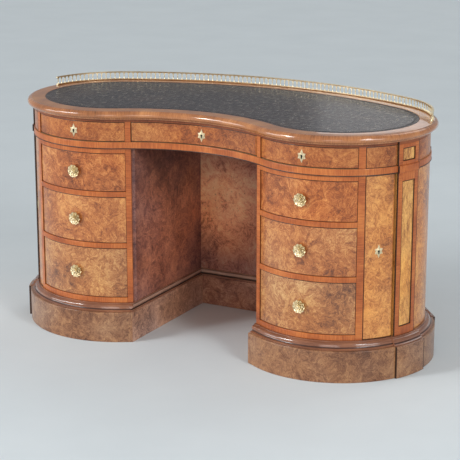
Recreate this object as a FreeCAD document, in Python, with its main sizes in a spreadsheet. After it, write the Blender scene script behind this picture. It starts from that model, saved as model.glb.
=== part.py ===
import FreeCAD, Part
import Sketcher
import math
import os
import re

# Kidney-shaped pedestal desk: nine drawers, two end doors, leather top and brass gallery.
# Millimetres, +Z up, front towards -Y, origin on the floor under the middle of the plan.

DOC = FreeCAD.newDocument("KidneyDesk")
SIZES = DOC.addObject("Spreadsheet::Sheet", "Sizes")
LEVELS = DOC.addObject("Spreadsheet::Sheet", "Levels")
UP = FreeCAD.Vector(0, 0, 1)
UPRIGHT = FreeCAD.Rotation(FreeCAD.Vector(1, 0, 0), 90)

# Driving dimensions
DRIVING = {
    # plan of the carcase: two lobes joined by a hollow front and a bowed back
    "lobe_radius": 272,
    "lobe_x": 391,
    "hollow_radius": 472,
    "back_radius": 1136,
    # boards
    "shell_thick": 20,
    "panel_thick": 15.5,
    "partition_thick": 12,
    "kneehole_half": 218.5,
    "kneehole_back_y": 182,
    "outer_stile_wide": 17,
    # heights from the floor up
    "plinth_high": 98,
    "moulding_high": 24,
    "rail_high": 16,
    "bottom_drawer_high": 162,
    "middle_drawer_high": 150,
    "top_drawer_high": 123,
    "strip_high": 15,
    "frieze_base_high": 21,
    "frieze_drawer_high": 63,
    "subtop_high": 10,
    "top_thick": 26,
    # steps in and out of the carcase face
    "plinth_offset": 31,
    "plinth_thick": 18,
    "knee_plinth_step": 13,
    "knee_moulding_step": 8,
    "moulding_offset": 24,
    "moulding_bevel": 12,
    "frieze_base_proud": 4,
    "top_overhang": 22,
    "top_edge_bevel": 6,
    "top_under_bevel": 10,
    "leather_inset": 35,
    "leather_thick": 1.6,
    "pilaster_proud": 7,
    "pilaster_sink": 4,
    "pilaster_margin": 26,
    "block_margin": 12,
    # angles round a lobe, in degrees from +X
    "bay_end": -54.36,
    "pilaster_start": -28.3,
    "pilaster_end": -10,
    "back_pilaster_start": 35,
    "back_pilaster_end": 53,
    "pilaster_border": 3.6,
    "foot_spread": 2.4,
    # drawers
    "drawer_recess": 3,
    "front_thick": 20,
    "front_gap": 1,
    "side_gap": 1.5,
    "drawer_side_thick": 10,
    "drawer_bottom_thick": 6,
    "drawer_bottom_up": 6,
    "drawer_side_low": 9,
    "drawer_reach": 0.75,
    "dustboard_margin": 10,
    "run_gap": 0.4,
    "centre_drawer_short": 30,
    "plate_seat": 0.2,
    # end doors
    "door_gap": 1,
    "door_recess": 1,
    "door_back_gap": 0.5,
    "hinge_gap": 0.8,
    "pin_radius": 3,
    "pin_length": 10,
    "pin_clearance": 0.4,
    # knobs
    "knob_radius": 21,
    "knob_projection": 18,
    "knob_neck_radius": 6,
    "knob_shank": 5,
    # locks
    "star_high": 20.6,
    "star_wide": 14.8,
    "star_valley": 9.8,
    "plate_thick": 1.6,
    "keyhole_wide": 4,
    "keyhole_high": 11,
    "lock_wide": 44,
    "door_lock_share": 0.07,
    "lock_high": 34,
    "lock_deep": 11,
    # gallery
    "gallery_offset": 4,
    "gallery_start": 10,
    "base_rail_wide": 8,
    "base_rail_high": 4,
    "spindle_high": 20,
    "spindle_foot": 1.5,
    "spindle_head": 2.8,
    "spindle_pitch": 15,
    "top_rail_wide": 6,
    "top_rail_high": 4,
}

# Values worked out from the driving dimensions
DERIVED = {
    "back_run": "sqrt((back_radius - lobe_radius)^2 - lobe_x^2)",
    "lobe_y": "(lobe_radius + back_run - back_radius) / 2",
    "hollow_y": "lobe_y - sqrt((hollow_radius + lobe_radius)^2 - lobe_x^2)",
    "inner_radius": "lobe_radius - shell_thick",
    "bay_left": "kneehole_half + panel_thick",
    "bay_right": "lobe_x + lobe_radius * cos(bay_end * 1 deg)",
    "stile_angle": "-acos((bay_right + outer_stile_wide - lobe_x) / lobe_radius) / 1 deg",
    "base_z": "plinth_high + moulding_high",
    "bottom_drawer_z": "base_z + rail_high",
    "lower_rail_z": "bottom_drawer_z + bottom_drawer_high",
    "middle_drawer_z": "lower_rail_z + rail_high",
    "upper_rail_z": "middle_drawer_z + middle_drawer_high",
    "top_drawer_z": "upper_rail_z + rail_high",
    "strip_z": "top_drawer_z + top_drawer_high",
    "frieze_base_z": "strip_z + strip_high",
    "frieze_z": "frieze_base_z + frieze_base_high",
    "subtop_z": "frieze_z + frieze_drawer_high",
    "top_z": "subtop_z + subtop_high",
    "writing_z": "top_z + top_thick",
    "spindle_z": "writing_z + base_rail_high",
    "top_rail_z": "spindle_z + spindle_high",
    "back_seam_y": "lobe_y + inner_radius * sin(back_pilaster_end * 1 deg)",
    "face_radius": "lobe_radius - drawer_recess",
    "front_inner_radius": "face_radius - front_thick",
    "face_y": "lobe_y - face_radius",
    "drawer_back_y": "lobe_y + drawer_reach * front_inner_radius",
    "centre_face_radius": "hollow_radius + drawer_recess",
    "centre_inner_radius": "centre_face_radius + front_thick",
    "centre_face_y": "hollow_y + centre_face_radius",
    "door_radius": "lobe_radius - door_recess",
    "door_inner_radius": "inner_radius + door_back_gap",
    "door_half": "(door_radius - door_inner_radius) / 2",
    "pivot_radius": "(door_radius + door_inner_radius) / 2",
    "pivot_angle": "pilaster_start - (door_half + hinge_gap) / pivot_radius * 180 / pi",
    "door_start": "stile_angle + door_gap / pivot_radius * 180 / pi",
    "door_middle": "(door_start + pivot_angle) / 2",
    "door_lock_wide": "lobe_radius * door_lock_share",
    "drawer_lock_seat": "front_inner_radius - sqrt(front_inner_radius^2 - lock_wide^2 / 4) + run_gap",
    "door_lock_seat": "door_inner_radius - sqrt(door_inner_radius^2 - door_lock_wide^2 / 4) + run_gap",
    "kneehole_plinth_x": "kneehole_half - knee_plinth_step",
    "kneehole_plinth_y": "kneehole_back_y - knee_plinth_step",
    "kneehole_mould_x": "kneehole_half - knee_moulding_step",
    "kneehole_mould_y": "kneehole_back_y - knee_moulding_step",
}


def resolved(text):
    """Put the sheet's name before every word that is a cell of one of the two sheets."""
    def with_sheet(match):
        word = match.group(0)
        if word in DRIVING:
            return "Sizes." + word
        if word in DERIVED:
            return "Levels." + word
        return word
    return re.sub(r"[a-z_]+", with_sheet, str(text))


def fill_sheets():
    for row, (name, value) in enumerate(DRIVING.items(), start=1):
        SIZES.set("A%d" % row, name)
        SIZES.set("B%d" % row, str(value))
        SIZES.setAlias("B%d" % row, name)
    DOC.recompute()
    for row, name in enumerate(DERIVED, start=1):
        LEVELS.set("A%d" % row, name)
        LEVELS.setAlias("B%d" % row, name)
    for row, (name, formula) in enumerate(DERIVED.items(), start=1):
        plain = re.sub(r"Levels\.", "", resolved(formula))
        LEVELS.set("B%d" % row, "=" + plain)
    DOC.recompute()


def size(name):
    """Number in one cell of either sheet."""
    sheet = SIZES if name in DRIVING else LEVELS
    cell = sheet.get(name)
    return float(getattr(cell, "Value", cell))


def bind(thing, prop, text):
    thing.setExpression(prop, resolved(text))


def place(thing, x="0", y="0", z="0"):
    for axis, text in zip("xyz", (x, y, z)):
        bind(thing, "Placement.Base." + axis, text)


def box(name, x, y, z):
    """Upright block between two values on each axis."""
    block = DOC.addObject("Part::Box", name)
    for prop, (low, high) in zip(("Length", "Width", "Height"), (x, y, z)):
        bind(block, prop, "(%s) - (%s)" % (high, low))
    place(block, x[0], y[0], z[0])
    return block


def disc(name, x, y, radius, z):
    """Upright cylinder."""
    plug = DOC.addObject("Part::Cylinder", name)
    bind(plug, "Radius", radius)
    bind(plug, "Height", "(%s) - (%s)" % (z[1], z[0]))
    place(plug, x, y, z[0])
    return plug


def wedge(name, foot, head, height):
    """Square frustum along its own Y axis, centred, with its half width at the foot and at the head."""
    frustum = DOC.addObject("Part::Wedge", name)
    bind(frustum, "Ymin", "0")
    bind(frustum, "Ymax", height)
    for axis in "XZ":
        bind(frustum, axis + "min", "-(%s)" % foot)
        bind(frustum, axis + "max", foot)
        bind(frustum, axis + "2min", "-(%s)" % head)
        bind(frustum, axis + "2max", head)
    return frustum


def cut(name, base, tool):
    result = DOC.addObject("Part::Cut", name)
    result.Base = base
    result.Tool = tool
    return result


def common(name, base, tool):
    result = DOC.addObject("Part::Common", name)
    result.Base = base
    result.Tool = tool
    return result


def fuse(name, pieces):
    result = DOC.addObject("Part::MultiFuse", name)
    result.Shapes = pieces
    return result


def group(name, pieces):
    """Separate solids kept together in one node."""
    result = DOC.addObject("Part::Compound", name)
    result.Links = pieces
    return result


def mirrored(name, source):
    """Left-hand copy of a right-hand piece."""
    result = DOC.addObject("Part::Mirroring", name)
    result.Source = source
    result.Base = FreeCAD.Vector(0, 0, 0)
    result.Normal = FreeCAD.Vector(1, 0, 0)
    return result


def both(name, pieces):
    """Right-hand pieces and their left-hand copies as one node."""
    copies = [mirrored("%s_left_%d" % (name, count), piece) for count, piece in enumerate(pieces)]
    return group(name, pieces + copies)


def lobe_sector(name, inner, outer, z, start, end):
    """Part of a ring about the right lobe's axis, between two angles."""
    wedge = disc(name + "_wedge", "lobe_x", "lobe_y", outer, z)
    bind(wedge, "Angle", "(%s) - (%s)" % (end, start))
    bind(wedge, "Placement.Rotation.Angle", start)
    core = disc(name + "_core", "lobe_x", "lobe_y", inner, z)
    return cut(name, wedge, core)


def kidney(name, offset, z):
    """Kidney plate: four tangent arcs, set out from the carcase face by an offset."""
    body = DOC.addObject("PartDesign::Body", name)
    sketch = body.newObject("Sketcher::SketchObject", name + "_outline")
    plane = [item for item in body.Origin.OriginFeatures if item.Role == "XY_Plane"][0]
    sketch.AttachmentSupport = [(plane, "")]
    sketch.MapMode = "FlatFace"
    lobe_x, lobe_y = size("lobe_x"), size("lobe_y")
    back_y = lobe_y - size("back_run")
    hollow_y = size("hollow_y")
    back_turn = math.atan2(lobe_y - back_y, lobe_x)
    front_turn = math.atan2(lobe_y - hollow_y, lobe_x)
    arcs = (
        (lobe_x, lobe_y, size("lobe_radius"), front_turn - math.pi, back_turn),
        (0, back_y, size("back_radius"), back_turn, math.pi - back_turn),
        (-lobe_x, lobe_y, size("lobe_radius"), math.pi - back_turn, 2 * math.pi - front_turn),
        (0, hollow_y, size("hollow_radius"), front_turn, math.pi - front_turn),
    )
    for x, y, radius, start, end in arcs:
        circle = Part.Circle(FreeCAD.Vector(x, y, 0), UP, radius)
        sketch.addGeometry(Part.ArcOfCircle(circle, start, end), False)
    right, back, left, hollow = range(4)
    first, last, middle = 1, 2, 3
    joints = (
        (right, last, back, first),
        (back, last, left, first),
        (left, last, hollow, last),
        (hollow, first, right, first),
    )
    for joint in joints:
        sketch.addConstraint(Sketcher.Constraint("Tangent", *joint))
    for arc, side in ((right, "lobe_x"), (left, "-lobe_x")):
        value = lobe_x if arc == right else -lobe_x
        at_x = sketch.addConstraint(Sketcher.Constraint("DistanceX", -1, 1, arc, middle, value))
        bind(sketch, "Constraints[%d]" % at_x, side)
        at_y = sketch.addConstraint(Sketcher.Constraint("DistanceY", -1, 1, arc, middle, lobe_y))
        bind(sketch, "Constraints[%d]" % at_y, "lobe_y")
    radii = (
        (right, "lobe_radius + (%s)" % offset),
        (left, "lobe_radius + (%s)" % offset),
        (back, "back_radius + (%s)" % offset),
        (hollow, "hollow_radius - (%s)" % offset),
    )
    for arc, text in radii:
        round_of = sketch.addConstraint(Sketcher.Constraint("Radius", arc, arcs[arc][2]))
        bind(sketch, "Constraints[%d]" % round_of, text)
    pad = body.newObject("PartDesign::Pad", name + "_pad")
    pad.Profile = sketch
    bind(pad, "Length", "(%s) - (%s)" % (z[1], z[0]))
    body.Tip = pad
    place(body, "0", "0", z[0])
    DOC.recompute()
    return body


def bevelled(body, at_top, width):
    """Bevel all the edges at the top or the underside of a padded plate."""
    solid = body.Tip
    level = solid.Shape.BoundBox.ZMax if at_top else solid.Shape.BoundBox.ZMin
    names = []
    for count, edge in enumerate(solid.Shape.Edges, start=1):
        if all(abs(vertex.Z - level) < 1e-4 for vertex in edge.Vertexes):
            names.append("Edge%d" % count)
    edging = body.newObject("PartDesign::Chamfer", "%s_bevel_%d" % (body.Name, at_top))
    edging.Base = (solid, names)
    bind(edging, "Size", width)
    body.Tip = edging
    DOC.recompute()


fill_sheets()
NODES = []


def node(label, thing):
    """Name a finished piece, which also names its file."""
    thing.Label = label
    NODES.append(thing)
    return thing


FAR = "1000"
PEDESTAL = ("base_z", "frieze_base_z")
FRIEZE = ("frieze_z", "subtop_z")

# Top, leather and brass gallery

top_plate = kidney("top_plate", "top_overhang", ("top_z", "writing_z"))
bevelled(top_plate, True, "top_edge_bevel")
bevelled(top_plate, False, "top_under_bevel")
bed_z = ("writing_z - leather_thick", "writing_z + 1")
leather_bed = kidney("leather_bed", "-leather_inset", bed_z)
node("top_board", cut("top_cut", top_plate, leather_bed))
leather_z = ("writing_z - leather_thick", "writing_z")
node("writing_leather", kidney("leather", "-leather_inset", leather_z))


def gallery_rail(name, width, z):
    """Strip that follows the ends and the back of the top."""
    outer = kidney(name + "_outer", "gallery_offset + %s / 2" % width, z)
    inner = kidney(name + "_inner", "gallery_offset - %s / 2" % width, z)
    loop = cut(name + "_loop", outer, inner)
    start_y = "lobe_y + (lobe_radius + gallery_offset) * sin(gallery_start * 1 deg)"
    keep = box(name + "_keep", ("-" + FAR, FAR), (start_y, FAR), z)
    return common(name, loop, keep)


node("gallery_base_rail", gallery_rail("base_rail", "base_rail_wide", ("writing_z", "spindle_z")))
node("gallery_top_rail", gallery_rail("top_rail", "top_rail_wide",
                                      ("top_rail_z", "top_rail_z + top_rail_high")))


def spindle_points():
    """Evenly spaced points along the gallery, in pairs from the ends to the middle of the back."""
    lobe_x, lobe_y, offset = size("lobe_x"), size("lobe_y"), size("gallery_offset")
    lobe_r = size("lobe_radius") + offset
    back_r = size("back_radius") + offset
    back_y = lobe_y - size("back_run")
    turn = math.atan2(lobe_y - back_y, lobe_x)
    start = math.radians(size("gallery_start"))
    end_run = lobe_r * (turn - start)
    half_run = end_run + back_r * (math.pi / 2 - turn)
    margin = 2 * size("spindle_head")
    steps = int((half_run - margin) / size("spindle_pitch"))
    pitch = (half_run - margin) / steps
    points = []
    for count in range(steps + 1):
        run = margin + count * pitch
        if run < end_run:
            angle = start + run / lobe_r
            x, y = lobe_x + lobe_r * math.cos(angle), lobe_y + lobe_r * math.sin(angle)
        else:
            angle = turn + (run - end_run) / back_r
            x, y = back_r * math.cos(angle), back_y + back_r * math.sin(angle)
        points.append((x, y, angle))
        if count < steps:
            points.append((-x, y, math.pi - angle))
    return points


spindles = []
for count, (x, y, angle) in enumerate(spindle_points()):
    spindle = wedge("spindle_%d" % count, "spindle_foot", "spindle_head", "spindle_high")
    turned = FreeCAD.Rotation(UP, math.degrees(angle)).multiply(UPRIGHT)
    spindle.Placement = FreeCAD.Placement(FreeCAD.Vector(x, y, 0), turned)
    bind(spindle, "Placement.Base.z", "spindle_z")
    spindles.append(spindle)
node("gallery_spindles", group("spindle_row", spindles))

# Boards that run through the whole carcase

node("subtop_board", kidney("subtop", "0", ("subtop_z", "top_z")))
node("frieze_base_board", kidney("frieze_base", "frieze_base_proud", ("frieze_base_z", "frieze_z")))


def storey_pieces(name, z):
    """Shell pieces of one storey, made the same way for the pedestals and the frieze."""
    outer = kidney(name + "_outer", "0", z)
    inner = kidney(name + "_inner", "-shell_thick", z)
    shell = cut(name + "_shell", outer, inner)
    stile_zone = box(name + "_stile_zone", ("kneehole_half", "bay_left"), ("-" + FAR, "0"), z)
    inner_stile = common(name + "_inner_stile", shell, stile_zone)
    stile_arc = lobe_sector(name + "_stile_arc", "inner_radius", "lobe_radius", z, "-75", "stile_angle")
    outer_zone = box(name + "_outer_zone", ("bay_right", FAR), ("-" + FAR, "0"), z)
    outer_stile = common(name + "_outer_stile", stile_arc, outer_zone)
    end_panel = lobe_sector(name + "_end", "inner_radius", "lobe_radius", z,
                            "pilaster_end", "back_pilaster_start")
    back_zone = box(name + "_back_zone", ("-" + FAR, FAR), ("back_seam_y", FAR), z)
    back_panel = common(name + "_back", shell, back_zone)
    side_zone = box(name + "_side_zone", ("kneehole_half", "bay_left"), ("-" + FAR, FAR), z)
    side = common(name + "_side", inner, side_zone)
    return {"shell": shell, "inner": inner, "inner_stile": inner_stile, "outer_stile": outer_stile,
            "end_panel": end_panel, "back_panel": back_panel, "side": side}


def pilasters(name, z, margin):
    """Front and back pilaster of the right lobe, each with a sunk panel in its face."""
    proud = "lobe_radius + pilaster_proud"
    panel_z = ("%s + %s" % (z[0], margin), "%s - %s" % (z[1], margin))
    finished = []
    for place_name, start, end in (("front", "pilaster_start", "pilaster_end"),
                                   ("back", "back_pilaster_start", "back_pilaster_end")):
        if place_name == "front":
            block = lobe_sector(name + "_front", "inner_radius", proud, z, start, end)
        else:
            past = end + " + 8"
            core = lobe_sector(name + "_back_core", "inner_radius", "lobe_radius", z, start, past)
            seam = box(name + "_seam", ("0", FAR), ("-" + FAR, "back_seam_y"), z)
            facing = lobe_sector(name + "_back_face", "lobe_radius", proud, z, start, end)
            block = fuse(name + "_back", [common(name + "_back_cut", core, seam), facing])
        panel = lobe_sector("%s_%s_panel" % (name, place_name), proud + " - pilaster_sink",
                            proud + " + 5", panel_z, start + " + pilaster_border",
                            end + " - pilaster_border")
        finished.append(cut("%s_%s_sunk" % (name, place_name), block, panel))
    return finished


lower = storey_pieces("lower", PEDESTAL)
upper = storey_pieces("upper", FRIEZE)

node("pedestal_stiles", both("stiles", [lower["inner_stile"], lower["outer_stile"]]))
node("pedestal_end_panels", both("ends", [lower["end_panel"]]))
node("pedestal_pilasters", both("posts", pilasters("post", PEDESTAL, "pilaster_margin")))
node("back_panel", lower["back_panel"])
node("kneehole_sides", both("sides", [lower["side"]]))
node("kneehole_back", box("knee_back", ("-kneehole_half", "kneehole_half"),
                          ("kneehole_back_y", "kneehole_back_y + panel_thick"), PEDESTAL))

node("frieze_stiles", both("frieze_stile", [upper["inner_stile"], upper["outer_stile"]]))
corner = lobe_sector("corner", "inner_radius", "lobe_radius", FRIEZE, "stile_angle", "pilaster_start")
node("frieze_end_panels", both("frieze_end", [upper["end_panel"], corner]))
node("frieze_pilaster_blocks", both("blocks", pilasters("block", FRIEZE, "block_margin")))
node("frieze_back_panel", upper["back_panel"])

# Bands that carry the pilasters' step across the boards, and their feet in the plinth


def stepped_blocks(name, inner, outer, z, spread="0"):
    """One block over or under each pilaster of the right lobe, wider by the spread at each side."""
    front = lobe_sector(name + "_front", inner, outer, z,
                        "pilaster_start - " + spread, "pilaster_end + " + spread)
    back = lobe_sector(name + "_back", inner, outer, z,
                       "back_pilaster_start - " + spread, "back_pilaster_end + " + spread)
    return [front, back]


bands = stepped_blocks("band", "lobe_radius + frieze_base_proud",
                       "lobe_radius + frieze_base_proud + pilaster_proud", ("frieze_base_z", "frieze_z"))
caps = stepped_blocks("cap", "lobe_radius", "lobe_radius + pilaster_proud", ("subtop_z", "top_z"))
node("pilaster_bands", both("band_blocks", bands + caps))
feet = stepped_blocks("foot", "lobe_radius + plinth_offset",
                      "lobe_radius + plinth_offset + pilaster_proud", ("0", "plinth_high"),
                      "foot_spread")
shoes = stepped_blocks("shoe", "lobe_radius + moulding_offset",
                       "lobe_radius + moulding_offset + pilaster_proud", ("plinth_high", "base_z"),
                       "foot_spread")
node("pilaster_plinth_blocks", both("foot_blocks", feet + shoes))

# Boards inside the pedestals and the frieze


def upright_panel(name, inner, z):
    """Board behind an outer stile, from the front shell to the back shell."""
    zone = box(name + "_zone", ("bay_right", "bay_right + partition_thick"), ("-" + FAR, FAR), z)
    return common(name, inner, zone)


def level_board(name, right, back, z):
    """Level board inside one pedestal, from its kneehole side outwards and its front shell backwards."""
    zone = box(name + "_zone", ("bay_left", right), ("-" + FAR, back), z)
    return common(name, lower["inner"], zone)


BOTTOM_BOARD = ("base_z", "bottom_drawer_z")
TOP_BOARD = ("strip_z", "frieze_base_z")
partition = upright_panel("partition", lower["inner"], ("bottom_drawer_z", "strip_z"))
node("cupboard_partitions", both("partitions", [partition]))
divider = upright_panel("divider", upper["inner"], FRIEZE)
node("frieze_dividers", both("dividers", [upper["side"], divider]))
node("pedestal_bottom_boards", both("bottoms", [level_board("bottom", FAR, FAR, BOTTOM_BOARD)]))
node("pedestal_top_boards", both("tops", [level_board("ceiling", FAR, FAR, TOP_BOARD)]))


def drawer_rail(name, z):
    """Curved rail between the stiles, flush with the carcase face."""
    zone = box(name + "_zone", ("bay_left", "bay_right"), ("-" + FAR, "lobe_y"), z)
    return common(name, lower["shell"], zone)


LOWER_RAIL = ("lower_rail_z", "middle_drawer_z")
UPPER_RAIL = ("upper_rail_z", "top_drawer_z")
rails = []
for name, z in (("foot_rail", BOTTOM_BOARD), ("lower_rail", LOWER_RAIL),
                ("upper_rail", UPPER_RAIL), ("strip_rail", TOP_BOARD)):
    rails.append(drawer_rail(name, z))
node("drawer_rails", both("rails", rails))
dust_back = "drawer_back_y + dustboard_margin"
boards = [level_board("lower_dust", "bay_right", dust_back, LOWER_RAIL),
          level_board("upper_dust", "bay_right", dust_back, UPPER_RAIL)]
node("dustboards", both("dusts", boards))

# Plinth and base moulding, running round the carcase and into the kneehole


def skirting(name, outer, offset, thickness, knee_x, knee_y, z):
    """Ring of boards round the kidney, two ends first, and three straight boards lining the kneehole."""
    inner = kidney(name + "_inner", "%s - (%s)" % (offset, thickness), z)
    ring = cut(name + "_ring", outer, inner)
    end_zone = box(name + "_end_zone", (knee_x, FAR), ("-" + FAR, FAR), z)
    end = common(name + "_end", ring, end_zone)
    back_zone = box(name + "_back_zone", ("-(%s)" % knee_x, knee_x), ("0", FAR), z)
    back = common(name + "_back", ring, back_zone)
    side_zone = box(name + "_side_zone", (knee_x, "%s + plinth_thick" % knee_x),
                    ("-" + FAR, "%s + plinth_thick" % knee_y), z)
    side = common(name + "_side", inner, side_zone)
    knee = box(name + "_knee", ("-(%s)" % knee_x, knee_x), (knee_y, "%s + plinth_thick" % knee_y), z)
    ends = [end, mirrored(name + "_end_left", end)]
    sides = [side, mirrored(name + "_side_left", side)]
    return ends + [back] + sides + [knee]


PLINTH = ("0", "plinth_high")
MOULDING = ("plinth_high", "base_z")
plinth_plate = kidney("plinth_plate", "plinth_offset", PLINTH)
plinth = skirting("skirt", plinth_plate, "plinth_offset", "plinth_thick",
                  "kneehole_plinth_x", "kneehole_plinth_y", PLINTH)
node("plinth_end_boards", group("plinth_ends", plinth[:2]))
node("plinth_inner_boards", group("plinth_inside", plinth[2:]))
moulding_plate = kidney("moulding_plate", "moulding_offset", MOULDING)
bevelled(moulding_plate, True, "moulding_bevel")
moulding = skirting("mould", moulding_plate, "moulding_offset", "moulding_offset + shell_thick",
                    "kneehole_mould_x", "kneehole_mould_y", MOULDING)
node("base_moulding", group("mouldings", moulding))

# Brass knob and star lock plate, made once and placed on each drawer


def prism(name, sides, radius, z):
    """Upright regular prism on the Z axis."""
    bar = DOC.addObject("Part::Prism", name)
    bar.Polygon = sides
    bind(bar, "Circumradius", radius)
    bind(bar, "Height", "(%s) - (%s)" % (z[1], z[0]))
    place(bar, "0", "0", z[0])
    return bar


def petal_stage(name, low_radius, high_radius, z):
    """Two square frustums, one turned by an eighth, which make an eight-pointed stage."""
    stages = []
    for turn in (0, 45):
        foot, head = ["(%s) / sqrt(2)" % radius for radius in (low_radius, high_radius)]
        stage = wedge("%s_%d" % (name, turn), foot, head, "(%s) - (%s)" % (z[1], z[0]))
        stand = FreeCAD.Rotation(UP, turn).multiply(UPRIGHT)
        stage.Placement = FreeCAD.Placement(FreeCAD.Vector(0, 0, 0), stand)
        bind(stage, "Placement.Base.z", z[0])
        stages.append(stage)
    return stages


def rosette_knob():
    """Eight-pointed rosette knob along +Z: flange on the plane z = 0, square shank below it."""
    levels = ["knob_projection * %s" % share for share in (0.13, 0.43, 0.67, 0.87)]
    half = "(knob_shank / 2)"
    pieces = [
        box("knob_shank_bar", ("-" + half, half), ("-" + half, half), ("-front_thick", "0")),
        prism("knob_flange", 12, "knob_neck_radius * 1.8", ("0", levels[0])),
        prism("knob_neck", 8, "knob_neck_radius * 1.1", (levels[0], levels[1])),
        prism("knob_boss", 8, "knob_radius * 0.32", (levels[3], "knob_projection")),
    ]
    pieces += petal_stage("knob_cup", "knob_radius * 0.4", "knob_radius", (levels[1], levels[2]))
    pieces += petal_stage("knob_petals", "knob_radius", "knob_radius * 0.62", (levels[2], levels[3]))
    return fuse("knob", pieces)


def key_slot(name, z):
    """Upright keyhole slot along Z."""
    x, y = [("-%s / 2" % side, "%s / 2" % side) for side in ("keyhole_wide", "keyhole_high")]
    return box(name, x, y, z)


def star_plate():
    """Six-pointed lock plate standing up along Y, facing +Z, with its keyhole cut through."""
    body = DOC.addObject("PartDesign::Body", "star")
    sketch = body.newObject("Sketcher::SketchObject", "star_outline")
    plane = [item for item in body.Origin.OriginFeatures if item.Role == "XY_Plane"][0]
    sketch.AttachmentSupport = [(plane, "")]
    sketch.MapMode = "FlatFace"
    corners = []
    for count in range(12):
        if count % 2:
            reach = "star_valley"
        elif count in (0, 6):
            reach = "star_high"
        else:
            reach = "star_wide"
        corners.append((reach, 90 + 30 * count))
    points = []
    for reach, degrees in corners:
        turn = math.radians(degrees)
        points.append(FreeCAD.Vector(size(reach) * math.cos(turn), size(reach) * math.sin(turn), 0))
    for count in range(12):
        sketch.addGeometry(Part.LineSegment(points[count], points[(count + 1) % 12]), False)
    for count in range(12):
        sketch.addConstraint(Sketcher.Constraint("Coincident", count, 2, (count + 1) % 12, 1))
    for count, (reach, degrees) in enumerate(corners):
        corner = points[count]
        for kind, turned, value in (("DistanceX", "cos", corner.x), ("DistanceY", "sin", corner.y)):
            row = sketch.addConstraint(Sketcher.Constraint(kind, -1, 1, count, 1, value))
            bind(sketch, "Constraints[%d]" % row, "%s * %s(%d deg)" % (reach, turned, degrees))
    pad = body.newObject("PartDesign::Pad", "star_pad")
    pad.Profile = sketch
    bind(pad, "Length", "plate_thick")
    body.Tip = pad
    DOC.recompute()
    return cut("star_cut", body, key_slot("plate_key", ("-1", "plate_thick + 1")))


def lock_case(name, width, back):
    """Plain lock case behind a front, its face a given way behind the plane z = 0."""
    return box(name, ("-%s / 2" % width, "%s / 2" % width), ("-lock_high / 2", "lock_high / 2"),
               ("-(%s) - lock_deep" % back, "-(%s)" % back))


def faced(name, pieces, x, y, z, angle):
    """Stand pieces made facing +Z on an upright face that looks out at a plan angle in degrees."""
    copy = group(name, pieces)
    turned = FreeCAD.Rotation(UP, angle + 90).multiply(UPRIGHT)
    copy.Placement = FreeCAD.Placement(FreeCAD.Vector(0, 0, 0), turned)
    place(copy, x, y, z)
    return copy


KNOB = rosette_knob()
STAR = star_plate()
DRAWER_LOCK = lock_case("drawer_lock", "lock_wide", "front_thick + drawer_lock_seat")
CENTRE_LOCK = lock_case("centre_lock", "lock_wide", "front_thick + 2 * run_gap")
DOOR_LOCK = lock_case("door_lock", "door_lock_wide", "2 * door_half + door_lock_seat")

# Drawers: each front is a slice of the lobe's shell and its box stands square behind it


def front_waste(name, z):
    """What lies in front of the lobe's middle and outside the drawer front's inner face."""
    ahead = box(name + "_ahead", ("0", FAR), ("-" + FAR, "lobe_y"), z)
    return cut(name, ahead, disc(name + "_round", "lobe_x", "lobe_y", "front_inner_radius", z))


def drawer(name, z, locked):
    """Right-hand drawer: front, box and its brass, as three nodes, with left-hand copies."""
    low, high = z
    middle = "((%s) + (%s)) / 2" % (low, high)
    front_z = (low + " + front_gap", high + " - front_gap")
    side_z = (low + " + run_gap", high + " - drawer_side_low")
    slab = disc(name + "_slab", "lobe_x", "lobe_y", "face_radius", front_z)
    core = disc(name + "_core", "lobe_x", "lobe_y", "front_inner_radius", front_z)
    front_x = ("bay_left + front_gap", "bay_right - front_gap")
    zone = box(name + "_zone", front_x, ("-" + FAR, "lobe_y"), front_z)
    blank = common(name + "_blank", cut(name + "_arc", slab, core), zone)
    through = ("-front_thick - 2", "1")
    if locked:
        hole = key_slot(name + "_key", through)
    else:
        half = "(knob_shank / 2 + run_gap)"
        hole = box(name + "_hole", ("-" + half, half), ("-" + half, half), through)
    bore = faced(name + "_bore", [hole], "lobe_x", "face_y", middle, -90)
    front = cut(name + "_front", blank, bore)

    waste = front_waste(name + "_waste", side_z)
    left_x = ("bay_left + side_gap", "bay_left + side_gap + drawer_side_thick")
    right_x = ("bay_right - side_gap - drawer_side_thick", "bay_right - side_gap")
    between = (left_x[1], right_x[0])
    run_y = ("-" + FAR, "drawer_back_y")
    bottom_z = (low + " + drawer_bottom_up", low + " + drawer_bottom_up + drawer_bottom_thick")
    solids = []
    bottom_y = ("-" + FAR, "drawer_back_y - drawer_side_thick")
    for part, x, y, part_z in (("left", left_x, run_y, side_z), ("right", right_x, run_y, side_z),
                               ("bottom", between, bottom_y, bottom_z)):
        plank = box("%s_%s_plank" % (name, part), x, y, part_z)
        solids.append(cut("%s_%s" % (name, part), plank, waste))
    back_y = ("drawer_back_y - drawer_side_thick", "drawer_back_y")
    solids.append(box(name + "_back", between, back_y, side_z))
    case = group(name + "_case", solids)

    brass = [STAR, DRAWER_LOCK] if locked else [KNOB]
    metal = faced(name + "_metal", brass, "lobe_x", "face_y", middle, -90)
    suffix = "lock" if locked else "knob"
    for side in ("right", "left"):
        for part, thing in (("front", front), ("box", case), (suffix, metal)):
            piece = thing if side == "right" else mirrored("%s_%s_left" % (name, part), thing)
            node("%s_%s_%s" % (side, name, part), piece)


drawer("top_drawer", ("top_drawer_z", "strip_z"), False)
drawer("middle_drawer", ("middle_drawer_z", "upper_rail_z"), False)
drawer("bottom_drawer", ("bottom_drawer_z", "lower_rail_z"), False)
drawer("frieze_drawer", ("frieze_z", "subtop_z"), True)


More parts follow.
